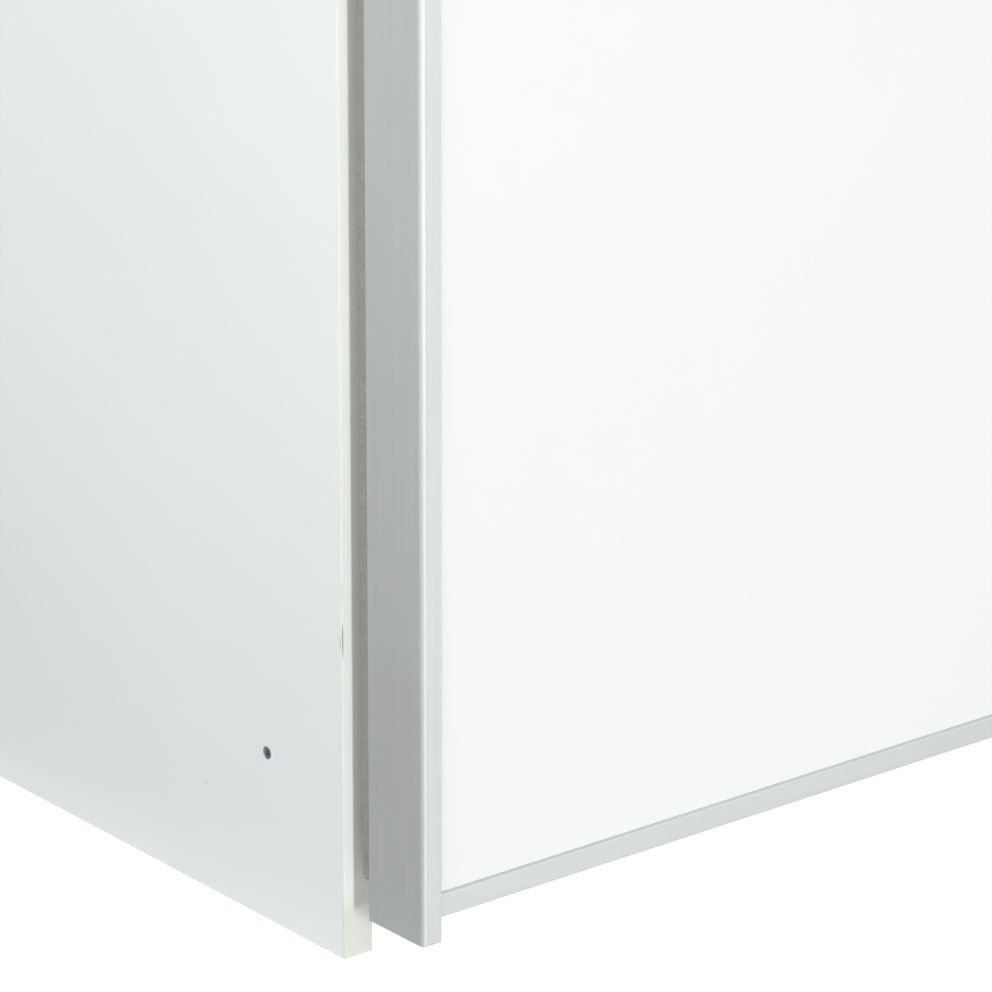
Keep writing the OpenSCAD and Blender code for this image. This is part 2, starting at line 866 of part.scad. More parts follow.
// A steel angle that stands on the top rail and carries a wheel
module roller_bracket() {
    x0 = bracket_set - bracket_w / 2;
    difference() {
        block(x0, x0 + bracket_w, bracket_front, bracket_front + bracket_t, rail_z1, bracket_top);
        rod_y([bracket_set, bracket_front - 1, axle_z], axle_r + 0.02, bracket_t + 2);
        on_bracket_corners() rotate([0, 45, 0]) cube([bracket_cut, 20, bracket_cut], center = true);
    }
    difference() {
        block(x0, x0 + bracket_w, bracket_front, bracket_front + foot_d, rail_z1, rail_z1 + bracket_t);
        for (x = foot_screw_xs) rod_z([x, foot_screw_y, rail_z1 - 1], screw_hole_r, bracket_t + 2);
    }
}

module on_bracket_corners() {
    for (dx = [-1, 1]) translate([bracket_set + dx * bracket_w / 2, bracket_front, bracket_top]) children();
}

module door_roller_brackets() {
    color(steel_c) on_door_ends() roller_bracket();
}

// A headed pin: the head is in front of the bracket, a collar keeps the wheel on
module wheel_axle() {
    wheel_back = wheel_set + wheel_w / 2;
    collar_y = bracket_front + bracket_t;
    translate([bracket_set, 0, axle_z]) {
        rod_y([0, bracket_front - 2, 0], axle_head_r, 2);
        rod_y([0, bracket_front - 1, 0], axle_r, wheel_back + 2 - bracket_front);
        rod_y([0, collar_y, 0], collar_r, wheel_set - wheel_w / 2 - wheel_play - collar_y);
        rod_y([0, wheel_back + wheel_play, 0], collar_r, collar_t);
    }
}

module door_axles() {
    color(steel_c) on_door_ends() wheel_axle();
}

module door_wheel() {
    color(nylon_c) translate([bracket_set, wheel_set, axle_z]) rotate([90, 0, 0]) rotate_extrude($fn = 96)
        difference() {
            rect(axle_r + fit, wheel_r, -wheel_w / 2, wheel_w / 2);
            rect(tread_r, wheel_r + 1, -tread_w / 2, tread_w / 2);
            rect(hub_r, rim_r, wheel_w / 2 - dish, wheel_w);
            rect(hub_r, rim_r, -wheel_w, dish - wheel_w / 2);
        }
}

// A steel strip from the back of the bottom rail to below the guide rail's groove
module guide_arm(leg_z, groove_y) {
    x0 = arm_set - arm_w / 2;
    difference() {
        block(x0, x0 + arm_w, stile_d, stile_d + arm_t, leg_z, arm_top);
        for (x = arm_screw_xs) rod_y([x, stile_d - 1, arm_screw_z], screw_hole_r, arm_t + 2);
    }
    block(x0, x0 + arm_w, stile_d, groove_y + arm_reach, leg_z, leg_z + arm_t);
}

module guide_finger(leg_z, groove_y) {
    translate([arm_set, groove_y, 0])
        block(-finger_len / 2, finger_len / 2, -finger_w / 2, finger_w / 2, leg_z + arm_t, finger_top);
}

function groove_y(side) = side < 0
    ? stile_d + door_gap + groove_set[0]
    : 2 * stile_d + door_clear + door_gap + groove_set[1];

function arm_z(side) = side < 0 ? rear_arm_z : front_arm_z;

module door_guide_arms(side) {
    color(steel_c) on_door_ends() guide_arm(arm_z(side), groove_y(side));
}

module door_guide_fingers(side) {
    color(nylon_c) on_door_ends() guide_finger(arm_z(side), groove_y(side));
}

// A short screw from behind the door, whose head's underside is at p
module screw_forward(p) {
    translate(p) rotate([-90, 0, 0]) screw_down([0, 0, 0], door_screw_l);
}

module corner_screws() {
    for (hole = concat(corner_stile_screws, corner_rail_screws))
        screw_forward([hole[0], stile_d + corner_t, hole[1]]);
}

module door_screws() {
    color(zinc_c) on_door_ends() {
        at_lower_corner() corner_screws();
        at_upper_corner() corner_screws();
        for (x = arm_screw_xs) screw_forward([x, stile_d + arm_t, arm_screw_z]);
        for (x = foot_screw_xs) screw_down([x, foot_screw_y, rail_z1 + bracket_t], foot_screw_l);
    }
}

// ---- Output ---------------------------------------------------------------

side_panel_left();
side_panel_right();
centre_partition();
top_panel();
floor_panel();
front_plinth();
rear_plinth();
centre_support();
back_panel_left();
back_panel_right();
left_shelf();
for (i = [1 : right_shelves]) right_shelf(i);
edge_bands();
shelf_pins();
clothes_rail();
clothes_rail_sockets();
connecting_bolts();
barrel_nuts();
wooden_dowels();
back_nails();
carcase_screws();
wall_brackets();
top_track();
track_fascia();
track_end_caps();
track_stops();
guide_rail();
spacer_profile();

for (side = [-1, 1]) {
    door = side < 0 ? "left_door_" : "right_door_";
    place_door(side) door_panel();
    place_door(side) door_outer_stile();
    place_door(side) door_inner_stile();
    place_door(side) door_top_rail();
    place_door(side) door_bottom_rail();
    place_door(side)
        door_brushes(side < 0 ? brush_depth : slim_brush);
    place_door(side) door_corner_plates();
    place_door(side) door_roller_brackets();
    place_door(side) door_axles();
    place_door(side) door_guide_arms(side);
    place_door(side) door_guide_fingers(side);
    place_door(side) door_screws();
    place_door(side) door_wheel();
    place_door(side) at_inner_edge() door_wheel();
}
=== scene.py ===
"""Sliding door wardrobe: finishes, rounded edges, brushes and gaskets, with a studio to show them in.

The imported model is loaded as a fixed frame, in metres. X runs along the front, Y runs from the doors
to the wall, and Z is up. Each operator below finishes or builds one group of like pieces.
"""

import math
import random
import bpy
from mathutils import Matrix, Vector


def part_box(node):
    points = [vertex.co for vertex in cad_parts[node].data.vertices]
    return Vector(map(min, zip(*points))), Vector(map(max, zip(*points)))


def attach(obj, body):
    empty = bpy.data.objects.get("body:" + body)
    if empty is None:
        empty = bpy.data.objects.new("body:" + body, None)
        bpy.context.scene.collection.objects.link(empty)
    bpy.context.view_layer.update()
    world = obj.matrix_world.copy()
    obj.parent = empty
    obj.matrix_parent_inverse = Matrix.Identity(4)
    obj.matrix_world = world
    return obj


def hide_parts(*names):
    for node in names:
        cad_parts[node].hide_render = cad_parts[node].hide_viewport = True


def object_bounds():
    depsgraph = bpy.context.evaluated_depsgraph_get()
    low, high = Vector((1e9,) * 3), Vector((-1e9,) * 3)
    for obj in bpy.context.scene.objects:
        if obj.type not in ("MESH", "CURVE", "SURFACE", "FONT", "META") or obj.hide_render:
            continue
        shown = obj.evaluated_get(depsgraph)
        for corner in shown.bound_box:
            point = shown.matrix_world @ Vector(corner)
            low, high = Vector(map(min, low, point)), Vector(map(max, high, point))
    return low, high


bl_info = {
    "name": "Sliding Door Wardrobe",
    "version": (1, 0, 0),
    "blender": (4, 5, 0),
    "location": "View3D > Sidebar > Wardrobe",
    "description": "Finishes the boards, doors and fittings of a sliding door wardrobe",
    "category": "Object",
}

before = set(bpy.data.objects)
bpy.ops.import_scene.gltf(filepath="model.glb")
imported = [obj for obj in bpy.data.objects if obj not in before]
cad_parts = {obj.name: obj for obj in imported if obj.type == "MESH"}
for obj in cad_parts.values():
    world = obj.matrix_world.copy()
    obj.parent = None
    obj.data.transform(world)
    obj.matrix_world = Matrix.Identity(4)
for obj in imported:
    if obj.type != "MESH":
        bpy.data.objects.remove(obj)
CAD_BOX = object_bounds()

import bmesh
import bpy
from mathutils import Matrix, Vector

MM = 0.001
SIDES = ("left", "right")
FAR_AWAY = 9.0  # a plane that no piece reaches
CORNER_STEPS = 3  # points along each round corner of an outline
BRUSH_WIDTH = 6.0 * MM
FIRST_SEED = 11
SEEDS_PER_DOOR = 7


# ---- Sizes and colours a user would change ---------------------------------------------------


def colour_prop(name, description, default):
    """A colour property, in linear light."""
    return bpy.props.FloatVectorProperty(
        name=name, description=description, default=default, size=3, subtype="COLOR", min=0.0, max=1.0
    )


def length_prop(name, description, default):
    """A length property in metres."""
    return bpy.props.FloatProperty(
        name=name, description=description, default=default, min=0.0, unit="LENGTH", precision=5
    )


def angle_prop(name, description, degrees):
    """An angle property, given in degrees."""
    return bpy.props.FloatProperty(
        name=name, description=description, default=math.radians(degrees), subtype="ANGLE"
    )


def light_prop(name, description, default):
    """The strength of one part of the studio light."""
    return bpy.props.FloatProperty(name=name, description=description, default=default, min=0.0)


class WARDROBE_PG_boards(bpy.types.PropertyGroup):
    white: colour_prop("Board white", "Colour of the melamine faces", (0.865, 0.892, 0.89))
    band_white: colour_prop("Edging white", "Colour of the edge bands", (0.895, 0.914, 0.868))
    chip: colour_prop("Chipboard", "Middle colour of the bare chipboard", (0.46, 0.33, 0.20))
    edge_round: length_prop("Board edge", "Rounding of a board's long edges", 0.0004)
    band_round: length_prop("Edging edge", "Rounding of the edge bands' outer edges", 0.00012)
    peel: length_prop("Orange peel", "Height of the melamine's fine texture", 0.00002)


class WARDROBE_PG_doors(bpy.types.PropertyGroup):
    gloss_white: colour_prop("Door white", "Colour of the glossy door panels", (0.737, 0.75, 0.746))
    aluminium: colour_prop("Aluminium", "Colour of the anodised profiles", (0.795, 0.82, 0.802))
    profile_round: length_prop("Profile edge", "Rounding of the profiles' long sharp edges", 0.0002)
    lip_width: length_prop("Upright lip", "Width of the upright profile's front lip", 0.0108)
    rail_lip: length_prop("Rail lip", "Height of the horizontal profile's front lip", 0.0112)
    gasket_width: length_prop("Gasket width", "Width of the bead between a lip and the panel", 0.0007)
    gasket_rise: length_prop("Gasket rise", "How far the bead stands forward of the panel", 0.0011)
    gasket_grey: colour_prop("Gasket grey", "Colour of the bead", (0.385, 0.40, 0.395))


class WARDROBE_PG_brushes(bpy.types.PropertyGroup):
    pile_grey: colour_prop("Pile grey", "Colour of the brush pile", (0.325, 0.33, 0.316))
    pitch: length_prop("Tuft pitch", "Distance between tufts along the brush", 0.00125)
    backing: length_prop("Backing", "Thickness of the strip that holds the pile", 0.0008)
    ragged: length_prop("Ragged tips", "How unevenly the pile is cut", 0.0002)
    clip: length_prop("End clip", "Length of the clip at each end of a brush", 0.0016)


class WARDROBE_PG_studio(bpy.types.PropertyGroup):
    floor_size: length_prop("Floor", "Side of the floor", 160.0)
    from_right: light_prop("From right", "Light of the studio's right side", 1.1)
    from_front: light_prop("From front", "Light of the studio in front", 0.63)
    from_back: light_prop("From back", "Light of the studio behind", 0.05)
    from_above: light_prop("From above", "Light of the studio's ceiling", 1.73)
    soft_box: light_prop("Soft box", "Power of the large soft box at the left, in watts", 33.7)
    key: light_prop("Key", "Power of the tall narrow light in front, in watts", 169.0)
    key_angle: angle_prop("Key angle", "How far to the left of the front the key light stands", 16.0)
    turn: angle_prop("Camera turn", "How far to the left of the front the camera stands", 39.2)
    tilt: angle_prop("Camera tilt", "How far the camera looks down", 19.18)
    roll: angle_prop("Camera roll", "Roll of the camera", 0.15)
    lens: bpy.props.FloatProperty(
        name="Lens", description="Focal length", default=183.84, subtype="DISTANCE_CAMERA"
    )


# ---- Node helpers ------------------------------------------------------------------------------


def add_node(tree, kind, inputs=None, **settings):
    """Adds a node, sets its settings, and links or fills its inputs by name or number."""
    node = tree.nodes.new(kind)
    for name, value in settings.items():
        setattr(node, name, value)
    for key, value in (inputs or {}).items():
        socket = node.inputs[key]
        if isinstance(value, bpy.types.NodeSocket):
            tree.links.new(value, socket)
        else:
            socket.default_value = value
    return node


def calc(tree, operation, a, b=0.0):
    """One step of arithmetic."""
    return add_node(tree, "ShaderNodeMath", {0: a, 1: b}, operation=operation).outputs[0]


def vector_calc(tree, operation, a, b=(0.0, 0.0, 0.0)):
    """One step of vector arithmetic, which gives a number or a vector."""
    node = add_node(tree, "ShaderNodeVectorMath", {0: a, 1: b}, operation=operation)
    gives_number = operation in ("DOT_PRODUCT", "DISTANCE", "LENGTH")
    return node.outputs["Value" if gives_number else "Vector"]


def split(tree, vector):
    """The outputs X, Y and Z of a vector."""
    return add_node(tree, "ShaderNodeSeparateXYZ", {0: vector}).outputs


def blend_colour(tree, factor, a, b):
    """Mixes two colours, each given as a socket or as three numbers."""
    a, b = (c if isinstance(c, bpy.types.NodeSocket) else (*c, 1.0) for c in (a, b))
    return add_node(tree, "ShaderNodeMix", {0: factor, 6: a, 7: b}, data_type="RGBA").outputs[2]


def spread(tree, value, low, high, to_low=0.0, to_high=1.0):
    """Maps a value from one range to another, clamped."""
    inputs = {"Value": value, "From Min": low, "From Max": high, "To Min": to_low, "To Max": to_high}
    return add_node(tree, "ShaderNodeMapRange", inputs).outputs["Result"]


def noise(tree, vector, scale, detail=2.0, roughness=0.5):
    """A noise texture's value."""
    inputs = {"Vector": vector, "Scale": scale, "Detail": detail, "Roughness": roughness}
    return add_node(tree, "ShaderNodeTexNoise", inputs).outputs["Fac"]


def new_group(name, inputs, outputs):
    """A shader node group with named sockets, and its two end nodes."""
    kinds = {"float": "NodeSocketFloat", "vector": "NodeSocketVector", "colour": "NodeSocketColor"}
    group = bpy.data.node_groups.new(name, "ShaderNodeTree")
    for label, (kind, default) in inputs.items():
        socket = group.interface.new_socket(label, in_out="INPUT", socket_type=kinds[kind])
        if default is not None:
            socket.default_value = default
    for label, kind in outputs.items():
        group.interface.new_socket(label, in_out="OUTPUT", socket_type=kinds[kind])
    return group, group.nodes.new("NodeGroupInput").outputs, group.nodes.new("NodeGroupOutput").inputs


def shared_group(build):
    """Builds a node group once and gives the same one back after that."""
    name = build.__name__
    return bpy.data.node_groups.get(name) or build(name)


def place_group(tree, build, vector, **inputs):
    """Places a shared group in a material and returns its outputs."""
    inputs = {"Vector": vector, **inputs}
    return add_node(tree, "ShaderNodeGroup", inputs, node_tree=shared_group(build)).outputs


# ---- Shared effects ----------------------------------------------------------------------------


def orange_peel(name):
    """The fine pimpled texture of pressed foil and moulded plastic, and its slow drift in tone."""
    group, given, out = new_group(
        name,
        {"Vector": ("vector", None), "Pimples": ("float", 900.0)},
        {"Height": "float", "Drift": "float"},
    )
    fine = noise(group, given["Vector"], given["Pimples"], 3.0, 0.6)
    slow = noise(group, given["Vector"], 3.2, 3.0, 0.55)
    group.links.new(fine, out["Height"])
    group.links.new(spread(group, slow, 0.3, 0.7), out["Drift"])
    return group


def chipboard(name):
    """Pressed wood chips: pale slivers in a brown ground, with pits between them."""
    group, given, out = new_group(
        name,
        {"Vector": ("vector", None), "Ground": ("colour", (0.46, 0.33, 0.20, 1.0))},
        {"Colour": "colour", "Height": "float"},
    )
    inputs = {"Vector": given["Vector"], "Scale": 160.0, "Detail": 2.0}
    warp = add_node(group, "ShaderNodeTexNoise", inputs)
    shift = vector_calc(group, "SCALE", warp.outputs["Color"])
    shift.node.inputs["Scale"].default_value = 0.004
    bent = vector_calc(group, "ADD", given["Vector"], shift)
    flat = vector_calc(group, "MULTIPLY", bent, (1.0, 1.0, 2.2))
    chips = add_node(group, "ShaderNodeTexVoronoi", {"Vector": flat, "Scale": 420.0, "Randomness": 1.0})
    tone = add_node(group, "ShaderNodeSeparateColor", {"Color": chips.outputs["Color"]}).outputs["Red"]
    pale = blend_colour(group, spread(group, tone, 0.2, 0.9), given["Ground"], (0.74, 0.60, 0.41))
    pits = spread(group, chips.outputs["Distance"], 0.25, 0.75)
    dark = blend_colour(group, calc(group, "MULTIPLY", pits, 0.65), pale, (0.19, 0.12, 0.07))
    group.links.new(dark, out["Colour"])
    group.links.new(calc(group, "SUBTRACT", tone, pits), out["Height"])
    return group


def drawn_lines(name):
    """The fine lines that a die leaves along a drawn or brushed piece."""
    group, given, out = new_group(
        name,
        {"Vector": ("vector", None), "Stretch": ("vector", (1.0, 1.0, 0.01))},
        {"Lines": "float", "Bands": "float"},
    )
    long = vector_calc(group, "MULTIPLY", given["Vector"], given["Stretch"])
    fine = noise(group, long, 2600.0, 2.0, 0.6)
    wide = noise(group, long, 240.0, 2.0, 0.5)
    group.links.new(spread(group, fine, 0.3, 0.7), out["Lines"])
    group.links.new(spread(group, wide, 0.3, 0.7), out["Bands"])
    return group


def rubbed_edges(name):
    """Where corners and long edges have been rubbed in use."""
    group, given, out = new_group(
        name,
        {"Vector": ("vector", None), "Width": ("float", 0.0008), "Patches": ("float", 60.0)},
        {"Mask": "float"},
    )
    soft = add_node(group, "ShaderNodeBevel", {"Radius": given["Width"]}, samples=4).outputs["Normal"]
    hard = add_node(group, "ShaderNodeNewGeometry").outputs["True Normal"]
    turned = calc(group, "SUBTRACT", 1.0, vector_calc(group, "DOT_PRODUCT", soft, hard))
    edge = spread(group, turned, 0.03, 0.2)
    patches = spread(group, noise(group, given["Vector"], given["Patches"], 4.0, 0.6), 0.45, 0.65)
    group.links.new(calc(group, "MULTIPLY", edge, patches), out["Mask"])
    return group


def settled_dust(name):
    """Dust and smudges: thicker on what faces up, thin and patchy elsewhere."""
    group, given, out = new_group(
        name,
        {"Vector": ("vector", None), "Amount": ("float", 0.2)},
        {"Mask": "float", "Smudge": "float"},
    )
    up = split(group, add_node(group, "ShaderNodeNewGeometry").outputs["Normal"])["Z"]
    facing = spread(group, up, 0.3, 1.0, 0.06, 1.0)
    patches = spread(group, noise(group, given["Vector"], 34.0, 5.0, 0.65), 0.38, 0.72)
    mask = calc(group, "MULTIPLY", calc(group, "MULTIPLY", facing, patches), given["Amount"])
    group.links.new(mask, out["Mask"])
    group.links.new(spread(group, noise(group, given["Vector"], 9.0, 4.0, 0.6), 0.35, 0.7), out["Smudge"])
    return group


# ---- Materials ---------------------------------------------------------------------------------


def start_material(name):
    """An empty material with its shader, and the object's own coordinates and normal."""
    made = bpy.data.materials.new(name)
    made.use_nodes = True
    tree = made.node_tree
    tree.nodes.clear()
    shader = add_node(tree, "ShaderNodeBsdfPrincipled")
    add_node(tree, "ShaderNodeOutputMaterial", {"Surface": shader.outputs["BSDF"]})
    place = add_node(tree, "ShaderNodeTexCoord")
    return made, tree, shader, place.outputs["Object"], place.outputs["Normal"]


def finish_shader(tree, shader, colour, roughness, height, depth, **fixed):
    """Links colour, roughness and relief to a shader and sets what is the same all over."""
    tree.links.new(colour, shader.inputs["Base Color"])
    tree.links.new(roughness, shader.inputs["Roughness"])
    bump = add_node(tree, "ShaderNodeBump", {"Height": height, "Distance": depth, "Strength": 1.0})
    tree.links.new(bump.outputs["Normal"], shader.inputs["Normal"])
    for label, value in fixed.items():
        shader.inputs[label.replace("_", " ")].default_value = value


def faces_along(tree, normal, axis):
    """1 on faces that look along an axis, 0 on the others."""
    along = calc(tree, "ABSOLUTE", vector_calc(tree, "DOT_PRODUCT", normal, axis))
    return spread(tree, along, 0.45, 0.55)


def spot(tree, place, centre, radii, ragged):
    """1 inside an oval around a point, with a ragged edge, 0 outside it."""
    offset = vector_calc(tree, "SUBTRACT", place, centre)
    reach = vector_calc(tree, "LENGTH", vector_calc(tree, "DIVIDE", offset, radii))
    uneven = calc(tree, "MULTIPLY", noise(tree, place, 700.0, 3.0), ragged)
    return spread(tree, calc(tree, "ADD", reach, uneven), 0.8, 1.15, 1.0, 0.0)


def marked(tree, place, colour, marks):
    """Lays marks over a colour: each has its centre, radii, raggedness and colour."""
    for centre, radii, ragged, tone in marks:
        colour = blend_colour(tree, spot(tree, place, centre, radii, ragged), colour, tone)
    return colour


def worn(tree, colour, mask, amount, bare):
    """Lets another colour show through where a mask says, up to an amount."""
    return blend_colour(tree, calc(tree, "MULTIPLY", mask, amount), colour, bare)


def scaled(colour, factor):
    """A colour made darker or paler."""
    return tuple(min(1.0, factor * c) for c in colour)


def drifting(tree, mask, colour, darkest):
    """A colour that drifts over the surface between a darker tone and its own."""
    return blend_colour(tree, mask, scaled(colour, darkest), tuple(colour))


def board_material(name, axis, marks=()):
    """White melamine on the two faces that look along the axis, bare chipboard on the cut edges."""
    sizes = bpy.context.scene.wardrobe_boards
    made, tree, shader, place, normal = start_material(name)
    face = faces_along(tree, normal, axis)
    peel = place_group(tree, orange_peel, place, Pimples=850.0)
    core = place_group(tree, chipboard, place, Ground=(*sizes.chip, 1.0))
    rubbed = place_group(tree, rubbed_edges, place, Width=0.0007, Patches=55.0)
    dust = place_group(tree, settled_dust, place, Amount=0.22)
    foil = drifting(tree, peel["Drift"], sizes.white, 0.965)
    foil = worn(tree, foil, rubbed["Mask"], 0.25, (0.70, 0.66, 0.58))
    foil = marked(tree, place, foil, marks)
    foil = blend_colour(tree, dust["Mask"], foil, (0.62, 0.61, 0.57))
    colour = blend_colour(tree, face, core["Colour"], foil)
    satin = spread(tree, dust["Smudge"], 0.0, 1.0, 0.36, 0.44)
    roughness = add_node(tree, "ShaderNodeMix", {0: face, 2: 0.9, 3: satin}).outputs[0]
    relief = calc(tree, "MULTIPLY", core["Height"], calc(tree, "SUBTRACT", 1.0, face))
    height = calc(tree, "ADD", calc(tree, "MULTIPLY", relief, 6.0), peel["Height"])
    finish_shader(tree, shader, colour, roughness, height, sizes.peel, Specular_IOR_Level=0.45)
    return made


def edging_material(marks):
    """Thin white ABS edging, warmer than the boards, with faint lines along it and painted shade darkening
    it near the floor.
    """
    sizes = bpy.context.scene.wardrobe_boards
    made, tree, shader, place, _ = start_material("white_edge_band")
    peel = place_group(tree, orange_peel, place, Pimples=1200.0)
    lines = place_group(tree, drawn_lines, place, Stretch=(1.0, 1.0, 0.02))
    dust = place_group(tree, settled_dust, place, Amount=0.25)
    colour = drifting(tree, peel["Drift"], sizes.band_white, 0.96)
    colour = marked(tree, place, colour, marks)
    # Painted shade: the edging darkens towards its foot, below about 34 mm, standing in for the dimmer
    # light close to the floor.
    painted_shade_at_foot = spread(tree, split(tree, place)["Z"], 0.021, 0.034, 0.7, 0.0)
    colour = blend_colour(tree, painted_shade_at_foot, colour, (0.70, 0.71, 0.65))
    colour = blend_colour(tree, dust["Mask"], colour, (0.60, 0.58, 0.52))
    roughness = spread(tree, lines["Bands"], 0.0, 1.0, 0.50, 0.58)
    height = calc(tree, "ADD", peel["Height"], calc(tree, "MULTIPLY", lines["Lines"], 0.6))
    finish_shader(tree, shader, colour, roughness, height, 0.000012, Specular_IOR_Level=0.35)
    return made


def hardboard_material():
    """Thin hardboard: white foil inside, brown fibre with a fine screen pattern towards the wall."""
    made, tree, shader, place, normal = start_material("white_hardboard")
    towards = vector_calc(tree, "DOT_PRODUCT", normal, (0.0, -1.0, 0.0))
    foil = spread(tree, towards, 0.45, 0.55)
    peel = place_group(tree, orange_peel, place, Pimples=700.0)
    fibre = noise(tree, vector_calc(tree, "MULTIPLY", place, (1.0, 1.0, 0.35)), 900.0, 6.0, 0.7)
    screen = add_node(
        tree, "ShaderNodeTexVoronoi", {"Vector": place, "Scale": 520.0, "Randomness": 0.15}
    ).outputs["Distance"]
    brown = blend_colour(tree, spread(tree, fibre, 0.3, 0.7), (0.16, 0.085, 0.042), (0.33, 0.20, 0.11))
    brown = worn(tree, brown, peel["Drift"], 0.35, (0.24, 0.15, 0.085))
    white = blend_colour(tree, peel["Drift"], (0.74, 0.74, 0.71), (0.78, 0.78, 0.76))
    colour = blend_colour(tree, foil, brown, white)
    roughness = spread(tree, foil, 0.0, 1.0, 0.85, 0.5)
    rough_side = calc(tree, "ADD", calc(tree, "MULTIPLY", screen, 3.0), calc(tree, "MULTIPLY", fibre, 2.0))
    height = add_node(tree, "ShaderNodeMix", {0: foil, 2: rough_side, 3: peel["Height"]}).outputs[0]
    finish_shader(tree, shader, colour, roughness, height, 0.00003)
    return made


def door_white_material(marks):
    """The doors' glossy white face: very flat, with a long slow waviness and a few specks."""
    sizes = bpy.context.scene.wardrobe_doors
    made, tree, shader, place, _ = start_material("gloss_white_panel")
    peel = place_group(tree, orange_peel, place, Pimples=260.0)
    dust = place_group(tree, settled_dust, place, Amount=0.10)
    colour = drifting(tree, peel["Drift"], sizes.gloss_white, 0.985)
    colour = blend_colour(tree, dust["Mask"], colour, (0.72, 0.71, 0.67))
    colour = marked(tree, place, colour, marks)
    roughness = spread(tree, dust["Smudge"], 0.0, 1.0, 0.07, 0.14)
    lacquer = {"Coat_Weight": 0.4, "Coat_Roughness": 0.04}
    finish_shader(tree, shader, colour, roughness, peel["Height"], 0.000006, **lacquer)
    return made


def aluminium_material(name, stretch):
    """Satin anodised aluminium with the die's fine lines, and painted shade on its rounded corners that
    dims their highlights.
    """
    sizes = bpy.context.scene.wardrobe_doors
    made, tree, shader, place, normal = start_material(name)
    lines = place_group(tree, drawn_lines, place, Stretch=stretch)
    rubbed = place_group(tree, rubbed_edges, place, Width=0.0006, Patches=40.0)
    along = split(tree, vector_calc(tree, "ABSOLUTE", normal))
    flattest = calc(tree, "MAXIMUM", along["X"], along["Y"])
    flattest = calc(tree, "MAXIMUM", flattest, along["Z"])
    dust = place_group(tree, settled_dust, place, Amount=0.10)
    colour = drifting(tree, lines["Bands"], sizes.aluminium, 0.97)
    colour = worn(tree, colour, lines["Lines"], 0.12, (0.92, 0.94, 0.93))
    # Painted shade: the colour darkens where the normal turns between the axes, on the rounded corners, to
    # dim their highlights.
    painted_shade_on_bends = spread(tree, flattest, 0.998, 0.86, 0.0, 0.45)
    colour = blend_colour(tree, painted_shade_on_bends, colour, scaled(sizes.aluminium, 0.55))
    colour = worn(tree, colour, rubbed["Mask"], 0.5, (0.88, 0.89, 0.89))
    colour = blend_colour(tree, dust["Mask"], colour, (0.55, 0.54, 0.50))
    roughness = spread(tree, lines["Lines"], 0.0, 1.0, 0.52, 0.60)
    roughness = calc(tree, "ADD", roughness, calc(tree, "MULTIPLY", dust["Smudge"], 0.05))
    finish_shader(tree, shader, colour, roughness, lines["Lines"], 0.000004, Metallic=0.85)
    return made


def plated_steel_material():
    """Pressed steel with a bright zinc coat, whose crystals show faintly."""
    made, tree, shader, place, _ = start_material("zinc_plated_steel")
    crystals = add_node(tree, "ShaderNodeTexVoronoi", {"Vector": place, "Scale": 150.0})
    tone = add_node(tree, "ShaderNodeSeparateColor", {"Color": crystals.outputs["Color"]}).outputs["Green"]
    rubbed = place_group(tree, rubbed_edges, place, Width=0.0006, Patches=90.0)
    dust = place_group(tree, settled_dust, place, Amount=0.25)
    colour = blend_colour(tree, tone, (0.46, 0.48, 0.50), (0.60, 0.62, 0.64))
    colour = worn(tree, colour, rubbed["Mask"], 0.6, (0.78, 0.79, 0.80))
    colour = blend_colour(tree, dust["Mask"], colour, (0.50, 0.49, 0.46))
    roughness = spread(tree, tone, 0.0, 1.0, 0.28, 0.46)
    finish_shader(tree, shader, colour, roughness, noise(tree, place, 1500.0, 3.0), 0.000006, Metallic=1.0)
    return made


def fastener_material():
    """Blue-passivated steel: dark blue-grey, paler where a tool has touched it."""
    made, tree, shader, place, _ = start_material("blued_zinc_fasteners")
    rubbed = place_group(tree, rubbed_edges, place, Width=0.0004, Patches=300.0)
    film = spread(tree, noise(tree, place, 320.0, 3.0), 0.35, 0.65)
    colour = blend_colour(tree, film, (0.35, 0.53, 0.60), (0.46, 0.61, 0.66))
    colour = worn(tree, colour, rubbed["Mask"], 0.7, (0.55, 0.58, 0.60))
    roughness = spread(tree, film, 0.0, 1.0, 0.30, 0.42)
    finish_shader(tree, shader, colour, roughness, noise(tree, place, 2400.0, 2.0), 0.000008, Metallic=0.9)
    return made


def chrome_material():
    """Bright chrome with faint finger marks."""
    made, tree, shader, place, _ = start_material("chromed_tube")
    lines = place_group(tree, drawn_lines, place, Stretch=(0.01, 1.0, 1.0))
    dust = place_group(tree, settled_dust, place, Amount=0.12)
    colour = blend_colour(tree, lines["Bands"], (0.72, 0.73, 0.74), (0.80, 0.81, 0.82))
    colour = blend_colour(tree, dust["Mask"], colour, (0.55, 0.55, 0.53))
    roughness = spread(tree, dust["Smudge"], 0.0, 1.0, 0.05, 0.16)
    finish_shader(tree, shader, colour, roughness, lines["Lines"], 0.000001, Metallic=1.0)
    return made


def pile_material():
    """Dense synthetic pile: fibres run out from the backing, with paler clumps."""
    sizes = bpy.context.scene.wardrobe_brushes
    made, tree, shader, place, _ = start_material("brush_pile")
    along = vector_calc(tree, "MULTIPLY", place, (1.0, 0.06, 1.0))
    fibres = noise(tree, along, 5200.0, 2.0, 0.6)
    clumps = noise(tree, along, 420.0, 2.0, 0.5)
    pale = scaled(sizes.pile_grey, 1.28)
    colour = spread(tree, fibres, 0.3, 0.7)
    colour = blend_colour(tree, colour, scaled(sizes.pile_grey, 0.72), pale)
    colour = worn(tree, colour, spread(tree, clumps, 0.4, 0.7), 0.3, pale)
    roughness = spread(tree, fibres, 0.0, 1.0, 0.7, 0.95)
    sheen = {"Sheen_Weight": 0.3, "Sheen_Roughness": 0.4}
    finish_shader(tree, shader, colour, roughness, fibres, 0.00008, **sheen)
    return made


